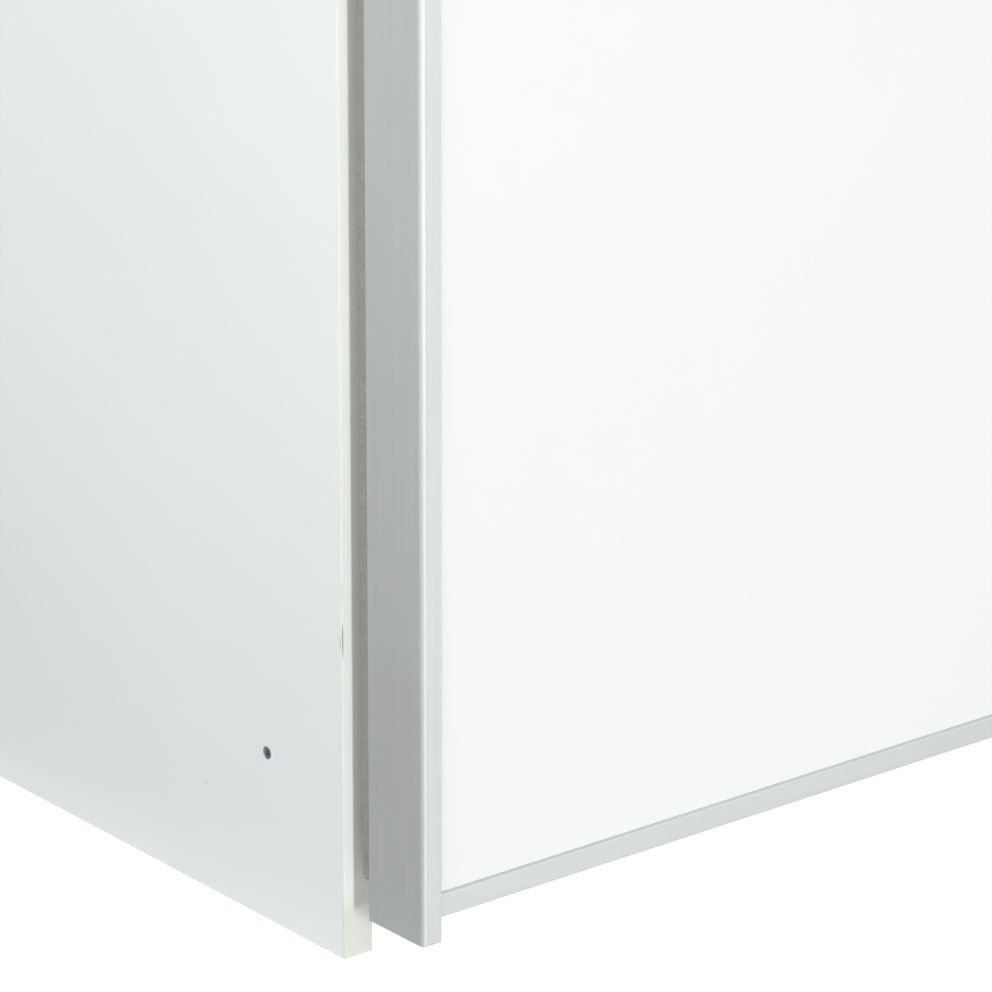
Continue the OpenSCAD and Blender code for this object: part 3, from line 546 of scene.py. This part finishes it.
def moulded_material(name, low, high, rough, peel_height):
    """A moulded plastic or rubber with a fine skin."""
    made, tree, shader, place, _ = start_material(name)
    peel = place_group(tree, orange_peel, place, Pimples=1400.0)
    rubbed = place_group(tree, rubbed_edges, place, Width=0.0005, Patches=120.0)
    dust = place_group(tree, settled_dust, place, Amount=0.12)
    colour = blend_colour(tree, peel["Drift"], low, high)
    pale = tuple(min(1.0, 0.15 + c) for c in high)
    colour = worn(tree, colour, rubbed["Mask"], 0.4, pale)
    colour = blend_colour(tree, dust["Mask"], colour, (0.5, 0.49, 0.46))
    roughness = spread(tree, dust["Smudge"], 0.0, 1.0, rough, rough + 0.12)
    finish_shader(tree, shader, colour, roughness, peel["Height"], peel_height)
    return made


def beech_material():
    """Fluted beech: straight grain along the dowel, with short dark flecks."""
    made, tree, shader, place, _ = start_material("beech")
    lines = place_group(tree, drawn_lines, place, Stretch=(0.6, 0.6, 0.02))
    flecks = noise(tree, vector_calc(tree, "MULTIPLY", place, (1.0, 1.0, 0.2)), 1800.0, 2.0)
    colour = blend_colour(tree, lines["Bands"], (0.50, 0.33, 0.19), (0.62, 0.44, 0.27))
    colour = blend_colour(tree, spread(tree, flecks, 0.6, 0.72), colour, (0.33, 0.19, 0.10))
    roughness = spread(tree, lines["Lines"], 0.0, 1.0, 0.55, 0.75)
    finish_shader(tree, shader, colour, roughness, lines["Lines"], 0.00002)
    return made


# ---- Rounded edges on the CAD nodes ------------------------------------------------------------


def geometry_group(name, floats):
    """A geometry node group with number inputs, and the outputs of its input node."""
    group = bpy.data.node_groups.new(name, "GeometryNodeTree")
    group.interface.new_socket("Geometry", in_out="INPUT", socket_type="NodeSocketGeometry")
    for label in floats:
        group.interface.new_socket(label, in_out="INPUT", socket_type="NodeSocketFloat")
    group.interface.new_socket("Geometry", in_out="OUTPUT", socket_type="NodeSocketGeometry")
    return group, group.nodes.new("NodeGroupInput").outputs


def sharp_above(group, geometry, degrees):
    """Shades faces smooth and leaves the edges sharp that turn further than an angle."""
    turn = add_node(group, "GeometryNodeInputMeshEdgeAngle").outputs["Unsigned Angle"]
    sharp = calc(group, "GREATER_THAN", turn, math.radians(degrees))
    for domain, chosen, smooth in (("FACE", True, True), ("EDGE", sharp, False)):
        inputs = {"Geometry": geometry, "Selection": chosen, "Shade Smooth": smooth}
        geometry = add_node(group, "GeometryNodeSetShadeSmooth", inputs, domain=domain).outputs[0]
    return geometry


def mark_long_edges(name):
    """Joins split corners and marks the long sharp edges to be rounded.

    Edges on either flush plane, where two pieces meet without a gap, stay sharp.
    """
    group, given = geometry_group(name, ("Shortest", "Flush Y", "Other Flush Y"))
    sharp_turn, flush_gap, merge = math.radians(50), 0.1 * MM, 0.01 * MM
    turn = add_node(group, "GeometryNodeInputMeshEdgeAngle").outputs["Unsigned Angle"]
    ends = add_node(group, "GeometryNodeInputMeshEdgeVertices").outputs
    length = vector_calc(group, "DISTANCE", ends["Position 1"], ends["Position 2"])
    middle = split(group, add_node(group, "GeometryNodeInputPosition").outputs[0])["Y"]
    chosen = calc(group, "GREATER_THAN", turn, sharp_turn)
    chosen = calc(group, "MULTIPLY", chosen, calc(group, "GREATER_THAN", length, given["Shortest"]))
    for label in ("Flush Y", "Other Flush Y"):
        gap = calc(group, "ABSOLUTE", calc(group, "SUBTRACT", middle, given[label]))
        chosen = calc(group, "MULTIPLY", chosen, calc(group, "GREATER_THAN", gap, flush_gap))
    inputs = {"Geometry": given["Geometry"], "Distance": merge}
    joined = add_node(group, "GeometryNodeMergeByDistance", inputs).outputs[0]
    inputs = {"Geometry": joined, "Name": "custom_normal"}
    plain = add_node(group, "GeometryNodeRemoveAttribute", inputs).outputs[0]
    inputs = {"Geometry": plain, "Name": "bevel_weight_edge", "Value": chosen}
    per_edge = {"data_type": "FLOAT", "domain": "EDGE"}
    stored = add_node(group, "GeometryNodeStoreNamedAttribute", inputs, **per_edge)
    add_node(group, "NodeGroupOutput", {"Geometry": stored.outputs[0]})
    return group


def smooth_rounded_edges(name):
    """Smooth shading over the rounded edges, sharp where edges stay sharp."""
    group, given = geometry_group(name, ())
    add_node(group, "NodeGroupOutput", {"Geometry": sharp_above(group, given["Geometry"], 40)})
    return group


def finish_node(node, material, width, flush=(FAR_AWAY, FAR_AWAY), shortest=0.012):
    """Gives a CAD node its material and rounds its long sharp edges.

    The rounding comes from modifiers, so the node's mesh stays as it is.
    """
    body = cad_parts[node]
    body.data.materials.clear()
    body.data.materials.append(material)
    mark = body.modifiers.new("mark_long_edges", "NODES")
    mark.node_group = shared_group(mark_long_edges)
    labels = {item.name: item.identifier for item in mark.node_group.interface.items_tree}
    mark[labels["Shortest"]] = shortest
    mark[labels["Flush Y"]] = flush[0]
    mark[labels["Other Flush Y"]] = flush[1]
    if width > 0.0:
        bevel = body.modifiers.new("rounded_edges", "BEVEL")
        bevel.width = width
        bevel.segments = 3
        bevel.limit_method = "WEIGHT"
        bevel.use_clamp_overlap = False
    smooth = body.modifiers.new("smooth_rounded_edges", "NODES")
    smooth.node_group = shared_group(smooth_rounded_edges)
    even = body.modifiers.new("even_normals", "WEIGHTED_NORMAL")
    even.keep_sharp = True


# ---- New pieces --------------------------------------------------------------------------------


def make_piece(name, mesh_builder, material, body, replaced=()):
    """Turns a bmesh builder into a piece that rides on a body."""
    mesh = bpy.data.meshes.new(name)
    shape = bmesh.new()
    mesh_builder(shape)
    bmesh.ops.recalc_face_normals(shape, faces=shape.faces)
    shape.to_mesh(mesh)
    shape.free()
    mesh.materials.append(material)
    piece = bpy.data.objects.new(name, mesh)
    bpy.context.scene.collection.objects.link(piece)
    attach(piece, body)
    if replaced:
        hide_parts(*replaced)
    return piece


def join_rings(shape, lower, upper):
    """Makes the faces between two rings of vertices."""
    for i in range(len(lower)):
        j = (i + 1) % len(lower)
        shape.faces.new((lower[i], lower[j], upper[j], upper[i]))


def loft(shape, rings):
    """Joins rings of points, each with the same count, into a skin with closed ends."""
    made = [[shape.verts.new(point) for point in ring] for ring in rings]
    for lower, upper in zip(made, made[1:]):
        join_rings(shape, lower, upper)
    shape.faces.new(made[0])
    shape.faces.new(made[-1])


def rounded_outline(x0, x1, y0, y1, radius, inset=0.0):
    """A rectangle's outline with round corners, as points, set in from the given sides."""
    x0, x1, y0, y1 = x0 + inset, x1 - inset, y0 + inset, y1 - inset
    corners = ((x1, y1, 0), (x0, y1, 90), (x0, y0, 180), (x1, y0, 270))
    points = []
    for x, y, start in corners:
        cx = x - radius if x == x1 else x + radius
        cy = y - radius if y == y1 else y + radius
        for k in range(CORNER_STEPS + 1):
            angle = math.radians(start + 90 * k / CORNER_STEPS)
            points.append((cx + radius * math.cos(angle), cy + radius * math.sin(angle)))
    return points


def build_brush(shape, box, sizes, seed):
    """Backing strip and tufts of one brush; the pile points from low Y to high Y."""
    (x0, y0, z0), (x1, y1, z1) = box
    chance = random.Random(seed)
    backing = rounded_outline(x0, x1, y0, y0 + sizes.backing, 0.3 * MM)
    loft(shape, [[(x, y, z) for x, y in backing] for z in (z0, z1)])
    low, high = z0 + sizes.clip, z1 - sizes.clip
    count = round((high - low) / sizes.pitch)
    step = (high - low) / count
    middle = (x0 + x1) / 2
    root = y0 + 0.5 * sizes.backing
    for i in range(count):
        z = low + (i + 0.5) * step
        lean_x = chance.uniform(-0.25, 0.25) * MM
        lean_z = chance.uniform(-0.08, 0.08) * MM
        cut = y1 - chance.uniform(0.0, 1.0) * sizes.ragged
        rings = []
        for part, wide in ((0.0, 0.68), (0.5, 0.8), (1.0, 0.94)):
            half_x = wide * (x1 - x0) / 2
            half_z = step * (0.46 + 0.1 * part)
            y = root + part * (cut - root)
            cx = middle + lean_x * part
            cz = z + lean_z * part
            ring = []
            for sx, sz in ((-1, -1), (0, -1.15), (1, -1), (1, 1), (0, 1.15), (-1, 1)):
                tip = part * chance.uniform(-0.3, 0.3) * sizes.ragged if part == 1.0 else 0.0
                ring.append((cx + sx * half_x, y + tip, cz + sz * half_z))
            rings.append(ring)
        loft(shape, rings)


def build_clip(shape, box):
    """The small moulded clip that closes an end of a brush."""
    (x0, y0, z0), (x1, y1, z1) = box
    ease = 0.35 * MM
    outline = rounded_outline(x0, x1, y0, y1, 0.9 * MM)
    eased = rounded_outline(x0, x1, y0, y1, 0.6 * MM, ease)
    levels = ((z0, eased), (z0 + ease, outline), (z1 - ease, outline), (z1, eased))
    loft(shape, [[(x, y, z) for x, y in points] for z, points in levels])


def build_gasket(shape, x0, x1, z0, z1, y_back, width, rise):
    """A bead round the panel's visible face, mitred at the corners, inside the given rectangle."""
    under_lip = -0.4 * MM
    section = [
        (under_lip, 0.0),
        (width, 0.0),
        (width, -0.45 * rise),
        (0.72 * width, -0.85 * rise),
        (0.35 * width, -rise),
        (under_lip, -rise),
    ]
    corners = ((x0, z0, 1, 1), (x1, z0, -1, 1), (x1, z1, -1, -1), (x0, z1, 1, -1))
    rings = [[(x + u * sx, y_back + v, z + u * sz) for u, v in section] for x, z, sx, sz in corners]
    made = [[shape.verts.new(point) for point in ring] for ring in rings]
    for ring, after in zip(made, made[1:] + made[:1]):
        join_rings(shape, ring, after)


def build_plug(shape, x0, x1, y0, y1, z_end, inward, length):
    """An upright's end plug: a rounded block that fills the profile's narrow end, tapered inside."""
    ease, taper, taper_length = 0.3 * MM, 1.0 * MM, 3.0 * MM
    outer = rounded_outline(x0, x1, y0, y1, 0.6 * MM)
    eased = rounded_outline(x0, x1, y0, y1, 0.4 * MM, ease)
    tip = rounded_outline(x0, x1, y0, y1, 0.4 * MM, taper)
    levels = (
        (z_end, eased),
        (z_end + inward * ease, outer),
        (z_end + inward * (length - taper_length), outer),
        (z_end + inward * length, tip),
    )
    loft(shape, [[(x, y, z) for x, y in points] for z, points in levels])


def front_corner():
    """The foot of the carcase's left front corner."""
    return Vector((CAD_BOX[0][0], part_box("edge_bands")[0][1], 0.0))


# ---- Operators ---------------------------------------------------------------------------------


class WARDROBE_OT_boards(bpy.types.Operator):
    """Finish the melamine boards"""

    bl_idname = "wardrobe.boards"
    bl_label = "Boards"

    def execute(self, context):
        sizes = context.scene.wardrobe_boards
        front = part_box("side_panel_left")[0][1]
        side = -CAD_BOX[1][0]
        chip_mark = ((side, front + 0.3 * MM, 0.1555), (0.004, 0.0005, 0.0035), 0.3, (0.66, 0.64, 0.46))
        speck = ((side, -0.0974, 0.0533), (0.002, 0.0007, 0.0009), 0.4, (0.66, 0.62, 0.55))
        upright = board_material("white_melamine", (1.0, 0.0, 0.0), (chip_mark, speck))
        level = board_material("white_melamine_level", (0.0, 0.0, 1.0))
        facing = board_material("white_melamine_facing", (0.0, 1.0, 0.0))
        shelves = ["left_shelf"] + [f"right_shelf_{i}" for i in range(1, 5)]
        banded = {
            upright: ["side_panel_left", "side_panel_right", "centre_partition"],
            level: ["top_panel", "floor_panel"] + shelves,
        }
        for material, names in banded.items():
            for name in names:
                band_joint = (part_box(name)[0][1], FAR_AWAY)
                finish_node(name, material, sizes.edge_round, band_joint)
        for name in ("front_plinth", "rear_plinth", "track_fascia"):
            finish_node(name, facing, sizes.edge_round)
        finish_node("centre_support", upright, sizes.edge_round)
        return {"FINISHED"}


class WARDROBE_OT_edge_bands(bpy.types.Operator):
    """Finish the edging on the boards' front edges"""

    bl_idname = "wardrobe.edge_bands"
    bl_label = "Edge Bands"

    def execute(self, context):
        rounding = context.scene.wardrobe_boards.band_round
        joints = (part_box("side_panel_left")[0][1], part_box("left_shelf")[0][1])
        side, front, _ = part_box("edge_bands")[0]
        chip = ((side + 0.3 * MM, front, 0.1565), (0.00045, 0.0005, 0.0105), 0.4, (0.40, 0.40, 0.34))
        seam = ((side + 0.2 * MM, front, 0.1800), (0.0004, 0.0004, 0.0075), 0.4, (0.70, 0.69, 0.66))
        finish_node("edge_bands", edging_material((chip, seam)), rounding, joints)
        return {"FINISHED"}


class WARDROBE_OT_backs(bpy.types.Operator):
    """Finish the hardboard backs"""

    bl_idname = "wardrobe.backs"
    bl_label = "Backs"

    def execute(self, context):
        hardboard = hardboard_material()
        for side in SIDES:
            finish_node(f"back_panel_{side}", hardboard, 0.0)
        return {"FINISHED"}


class WARDROBE_OT_door_panels(bpy.types.Operator):
    """Finish the glossy door panels"""

    bl_idname = "wardrobe.door_panels"
    bl_label = "Door Panels"

    def execute(self, context):
        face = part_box("left_door_panel")[0][1]
        marks = (
            ((-0.7431, face, 0.0636), (0.0016, 0.002, 0.0012), 0.5, (0.86, 0.78, 0.55)),
            ((-0.673, face, 0.3046), (0.0006, 0.002, 0.0014), 0.4, (0.72, 0.72, 0.68)),
        )
        white = door_white_material(marks)
        for side in SIDES:
            finish_node(f"{side}_door_panel", white, 0.0)
        return {"FINISHED"}


class WARDROBE_OT_profiles(bpy.types.Operator):
    """Finish the aluminium profiles"""

    bl_idname = "wardrobe.profiles"
    bl_label = "Profiles"

    def execute(self, context):
        rounding = context.scene.wardrobe_doors.profile_round
        upright = aluminium_material("satin_aluminium", (1.0, 1.0, 0.004))
        level = aluminium_material("satin_aluminium_level", (0.004, 1.0, 1.0))
        finish_node("spacer_profile", upright, rounding)
        for name in ("top_track", "guide_rail"):
            finish_node(name, level, rounding)
        for side in SIDES:
            for name in ("outer_stile", "inner_stile"):
                finish_node(f"{side}_door_{name}", upright, rounding)
            for name in ("top_rail", "bottom_rail"):
                finish_node(f"{side}_door_{name}", level, rounding)
        return {"FINISHED"}


class WARDROBE_OT_fittings(bpy.types.Operator):
    """Finish the fasteners, running gear and inside fittings"""

    bl_idname = "wardrobe.fittings"
    bl_label = "Fittings"

    def execute(self, context):
        steel = plated_steel_material()
        fasteners = fastener_material()
        tones = (0.74, 0.74, 0.70), (0.80, 0.80, 0.77)
        nylon = moulded_material("white_nylon", *tones, 0.32, 0.00001)
        tones = (0.78, 0.80, 0.79), (0.82, 0.84, 0.83)
        plastic = moulded_material("white_plastic", *tones, 0.36, 0.00001)
        tones = (0.020, 0.020, 0.021), (0.032, 0.032, 0.033)
        rubber = moulded_material("black_rubber", *tones, 0.62, 0.00003)
        finishes = {
            steel: (
                ["clothes_rail_sockets", "wall_brackets"],
                ["corner_plates", "roller_brackets", "guide_arms"],
            ),
            fasteners: (
                ["shelf_pins", "connecting_bolts", "barrel_nuts", "back_nails", "carcase_screws"],
                ["axles", "screws"],
            ),
            nylon: ([], ["guide_fingers", "outer_wheel", "inner_wheel"]),
            plastic: (["track_end_caps"], []),
            rubber: (["track_stops"], []),
            chrome_material(): (["clothes_rail"], []),
            beech_material(): (["wooden_dowels"], []),
        }
        rounded = {steel: 0.0003, nylon: 0.0, plastic: 0.0004, rubber: 0.0006}
        for material, (carcase_names, door_names) in finishes.items():
            names = carcase_names + [f"{side}_door_{name}" for side in SIDES for name in door_names]
            for name in names:
                finish_node(name, material, rounded.get(material, 0.0), shortest=0.006)
        return {"FINISHED"}


class WARDROBE_OT_brushes(bpy.types.Operator):
    """Build the dust brushes on the backs of the doors' uprights"""

    bl_idname = "wardrobe.brushes"
    bl_label = "Brushes"

    def execute(self, context):
        sizes = context.scene.wardrobe_brushes
        pile = pile_material()
        tones = (0.30, 0.31, 0.31), (0.36, 0.37, 0.37)
        clip = moulded_material("brush_clip_grey", *tones, 0.45, 0.00001)
        for number, side in enumerate(SIDES):
            (x0, y0, z0), (x1, y1, z1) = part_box(f"{side}_door_brushes")
            for edge, left in (("left", x0), ("right", x1 - BRUSH_WIDTH)):
                right = left + BRUSH_WIDTH
                box = ((left, y0, z0), (right, y1, z1))
                seed = FIRST_SEED + SEEDS_PER_DOOR * number + (edge == "right")
                piece = make_piece(
                    f"{side}_door_{edge}_brush",
                    lambda shape: build_brush(shape, box, sizes, seed),
                    pile,
                    f"{side}_door",
                    (f"{side}_door_brushes",),
                )
                for low in (z0, z1 - sizes.clip):
                    ends = ((left, y0, low), (right, y1 - sizes.ragged, low + sizes.clip))
                    part = "lower" if low == z0 else "upper"
                    make_piece(
                        f"{side}_door_{edge}_brush_{part}_clip",
                        lambda shape: build_clip(shape, ends),
                        clip,
                        f"{side}_door",
                    )
                if piece.data.validate():
                    raise RuntimeError(f"{piece.name} has faulty faces")
        return {"FINISHED"}


class WARDROBE_OT_gaskets(bpy.types.Operator):
    """Build the thin beads between the door panels and their frames"""

    bl_idname = "wardrobe.gaskets"
    bl_label = "Gaskets"

    def execute(self, context):
        sizes = context.scene.wardrobe_doors
        grey = tuple(sizes.gasket_grey)
        bead = moulded_material("panel_gasket_grey", grey, scaled(grey, 1.15), 0.5, 0.00001)
        section = (sizes.gasket_width, sizes.gasket_rise)
        for side in SIDES:
            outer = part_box(f"{side}_door_outer_stile")
            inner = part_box(f"{side}_door_inner_stile")
            x0 = min(outer[0][0], inner[0][0]) + sizes.lip_width
            x1 = max(outer[1][0], inner[1][0]) - sizes.lip_width
            z0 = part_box(f"{side}_door_bottom_rail")[0][2] + sizes.rail_lip
            z1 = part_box(f"{side}_door_top_rail")[1][2] - sizes.rail_lip
            y_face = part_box(f"{side}_door_panel")[0][1]
            make_piece(
                f"{side}_door_gasket",
                lambda shape: build_gasket(shape, x0, x1, z0, z1, y_face, *section),
                bead,
                f"{side}_door",
            )
        return {"FINISHED"}


class WARDROBE_OT_end_plugs(bpy.types.Operator):
    """Build the plugs that close the doors' uprights at both ends"""

    bl_idname = "wardrobe.end_plugs"
    bl_label = "End Plugs"

    def execute(self, context):
        sizes = context.scene.wardrobe_doors
        wall, side_gap, back_gap = 2.0 * MM, 0.2 * MM, 2.2 * MM
        sunk, length = 0.6 * MM, 11.0 * MM
        tones = (0.34, 0.35, 0.35), (0.40, 0.41, 0.41)
        grey = moulded_material("end_plug_grey", *tones, 0.45, 0.00001)
        for side in SIDES:
            panel_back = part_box(f"{side}_door_panel")[1][1]
            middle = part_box(f"{side}_door_panel")[0][0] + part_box(f"{side}_door_panel")[1][0]
            for stile in ("outer", "inner"):
                (x0, _, z0), (x1, y1, z1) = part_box(f"{side}_door_{stile}_stile")
                if x0 + x1 < middle:
                    x0, x1 = x0 + wall, x0 + sizes.lip_width - side_gap
                else:
                    x0, x1 = x1 - sizes.lip_width + side_gap, x1 - wall
                y0, y1 = panel_back + back_gap, y1 - wall
                for part, z_end, inward in (("lower", z0 + sunk, 1), ("upper", z1 - sunk, -1)):
                    make_piece(
                        f"{side}_door_{stile}_{part}_plug",
                        lambda shape: build_plug(shape, x0, x1, y0, y1, z_end, inward, length),
                        grey,
                        f"{side}_door",
                    )
        return {"FINISHED"}


class WARDROBE_OT_studio(bpy.types.Operator):
    """Set up the floor, the lights and the camera"""

    bl_idname = "wardrobe.studio"
    bl_label = "Studio"

    def execute(self, context):
        sizes = context.scene.wardrobe_studio
        context.scene.view_settings.view_transform = "Standard"
        self.make_floor(sizes)
        self.make_world(context.scene, sizes)
        self.make_lamps(context.scene, sizes)
        self.make_camera(context.scene, sizes)
        return {"FINISHED"}

    def make_floor(self, sizes):
        """A wide pale floor that stays white to the camera and lights the pieces softly."""
        made, tree, shader, place, _ = start_material("studio_floor")
        shader.inputs["Roughness"].default_value = 0.9
        shader.inputs["Specular IOR Level"].default_value = 0.0
        tone = blend_colour(tree, noise(tree, place, 1.5, 3.0), (0.48, 0.48, 0.475), (0.52, 0.52, 0.515))
        across = split(tree, place)["X"]
        # Painted shade: a dark strip of floor to the left of the wardrobe, white to the camera, darkens
        # the reflections and bounce light on the lower left of the pieces.
        near_edge, far_edge = (-0.88, -0.98), (-2.2, -1.1)
        painted_shade_patch = spread(tree, across, *near_edge)
        painted_shade_patch = calc(tree, "MULTIPLY", painted_shade_patch, spread(tree, across, *far_edge))
        tone = blend_colour(tree, painted_shade_patch, tone, (0.16, 0.16, 0.16))
        tree.links.new(tone, shader.inputs["Base Color"])
        seen = add_node(tree, "ShaderNodeLightPath").outputs["Is Camera Ray"]
        tree.links.new(seen, shader.inputs["Emission Strength"])
        shader.inputs["Emission Color"].default_value = (1.0, 1.0, 1.0, 1.0)
        mesh = bpy.data.meshes.new("studio_floor")
        shape = bmesh.new()
        half = sizes.floor_size / 2
        corners = ((-1, -1), (1, -1), (1, 1), (-1, 1))
        shape.faces.new([shape.verts.new((x * half, y * half, 0.0)) for x, y in corners])
        shape.to_mesh(mesh)
        shape.free()
        mesh.materials.append(made)
        floor = bpy.data.objects.new("studio_floor", mesh)
        bpy.context.scene.collection.objects.link(floor)

    def make_world(self, scene, sizes):
        """Soft light whose strength differs from side to side, with a white background."""
        world = bpy.data.worlds.new("studio")
        world.use_nodes = True
        tree = world.node_tree
        tree.nodes.clear()
        towards = add_node(tree, "ShaderNodeTexCoord").outputs["Generated"]
        sides = (
            ((1.0, 0.0, 0.0), sizes.from_right),
            ((0.0, -1.0, 0.0), sizes.from_front),
            ((0.0, 1.0, 0.0), sizes.from_back),
            ((0.0, 0.0, 1.0), sizes.from_above),
        )
        total = 0.0
        for axis, strength in sides:
            part = calc(tree, "MAXIMUM", vector_calc(tree, "DOT_PRODUCT", towards, axis), 0.0)
            part = calc(tree, "MULTIPLY", calc(tree, "MULTIPLY", part, part), strength)
            total = calc(tree, "ADD", total, part)
        seen = add_node(tree, "ShaderNodeLightPath").outputs["Is Camera Ray"]
        strength = add_node(tree, "ShaderNodeMix", {0: seen, 2: total, 3: 1.0}).outputs[0]
        tint = blend_colour(tree, seen, (0.985, 1.0, 0.995), (1.0, 1.0, 1.0))
        light = add_node(tree, "ShaderNodeBackground", {"Color": tint, "Strength": strength})
        add_node(tree, "ShaderNodeOutputWorld", {"Surface": light.outputs[0]})
        scene.world = world

    def add_lamp(self, scene, name, place, target, size, energy):
        """A rectangular soft light that the camera doesn't see."""
        light = bpy.data.lights.new(name, "AREA")
        light.shape = "RECTANGLE"
        light.size, light.size_y = size
        light.energy = energy
        lamp = bpy.data.objects.new(name, light)
        lamp.visible_camera = False
        lamp.location = place
        lamp.rotation_euler = (target - place).to_track_quat("-Z", "Y").to_euler()
        scene.collection.objects.link(lamp)

    def make_lamps(self, scene, sizes):
        """A tall narrow key light in front, a little to the left, and a large soft box at the left."""
        corner = front_corner()
        away = Vector((-math.sin(sizes.key_angle), -math.cos(sizes.key_angle), 0.0))
        target = corner + Vector((0.0, 0.0, 0.8))
        distance, size = 6.0, (0.36, 1.6)
        place = corner + distance * away + Vector((0.0, 0.0, 0.8))
        self.add_lamp(scene, "key", place, target, size, sizes.key)
        place, target = corner + Vector((-2.0, -0.8, 1.2)), corner + Vector((0.0, 0.1, 0.3))
        self.add_lamp(scene, "soft_box", place, target, (2.4, 2.4), sizes.soft_box)

    def make_camera(self, scene, sizes):
        """A long lens, close to the lower left corner, looking down at it."""
        stand = front_corner() + Vector((-1.29086, -1.69173, 0.96538))
        camera = bpy.data.cameras.new("camera")
        camera.sensor_width = 36.0
        camera.lens = sizes.lens
        camera.clip_end = 400.0
        holder = bpy.data.objects.new("camera", camera)
        turn = Matrix.Rotation(-sizes.turn, 4, "Z")
        tilt = Matrix.Rotation(math.radians(90.0) - sizes.tilt, 4, "X")
        roll = Matrix.Rotation(sizes.roll, 4, "Z")
        holder.matrix_world = Matrix.Translation(stand) @ turn @ tilt @ roll
        scene.collection.objects.link(holder)
        scene.camera = holder


class WARDROBE_PT_panel(bpy.types.Panel):
    """The wardrobe's sidebar panel"""

    bl_idname = "WARDROBE_PT_panel"
    bl_label = "Wardrobe"
    bl_space_type = "VIEW_3D"
    bl_region_type = "UI"
    bl_category = "Wardrobe"

    def draw(self, context):
        for name in SETTINGS:
            settings = getattr(context.scene, name)
            box = self.layout.box()
            for label in settings.__annotations__:
                box.prop(settings, label)
        for operator in OPERATORS:
            self.layout.operator(operator.bl_idname)


SETTINGS = {
    "wardrobe_boards": WARDROBE_PG_boards,
    "wardrobe_doors": WARDROBE_PG_doors,
    "wardrobe_brushes": WARDROBE_PG_brushes,
    "wardrobe_studio": WARDROBE_PG_studio,
}
OPERATORS = (
    WARDROBE_OT_boards,
    WARDROBE_OT_edge_bands,
    WARDROBE_OT_backs,
    WARDROBE_OT_door_panels,
    WARDROBE_OT_profiles,
    WARDROBE_OT_fittings,
    WARDROBE_OT_brushes,
    WARDROBE_OT_gaskets,
    WARDROBE_OT_end_plugs,
    WARDROBE_OT_studio,
)


def register():
    for name, settings in SETTINGS.items():
        bpy.utils.register_class(settings)
        setattr(bpy.types.Scene, name, bpy.props.PointerProperty(type=settings))
    for operator in OPERATORS:
        bpy.utils.register_class(operator)
    bpy.utils.register_class(WARDROBE_PT_panel)


def unregister():
    bpy.utils.unregister_class(WARDROBE_PT_panel)
    for operator in reversed(OPERATORS):
        bpy.utils.unregister_class(operator)
    for name, settings in SETTINGS.items():
        delattr(bpy.types.Scene, name)
        bpy.utils.unregister_class(settings)


def main():
    """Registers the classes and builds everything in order."""
    register()
    for operator in OPERATORS:
        group, name = operator.bl_idname.split(".")
        if getattr(getattr(bpy.ops, group), name)() != {"FINISHED"}:
            raise RuntimeError(f"{operator.bl_label} did not finish")


if __name__ == "__main__":
    main()
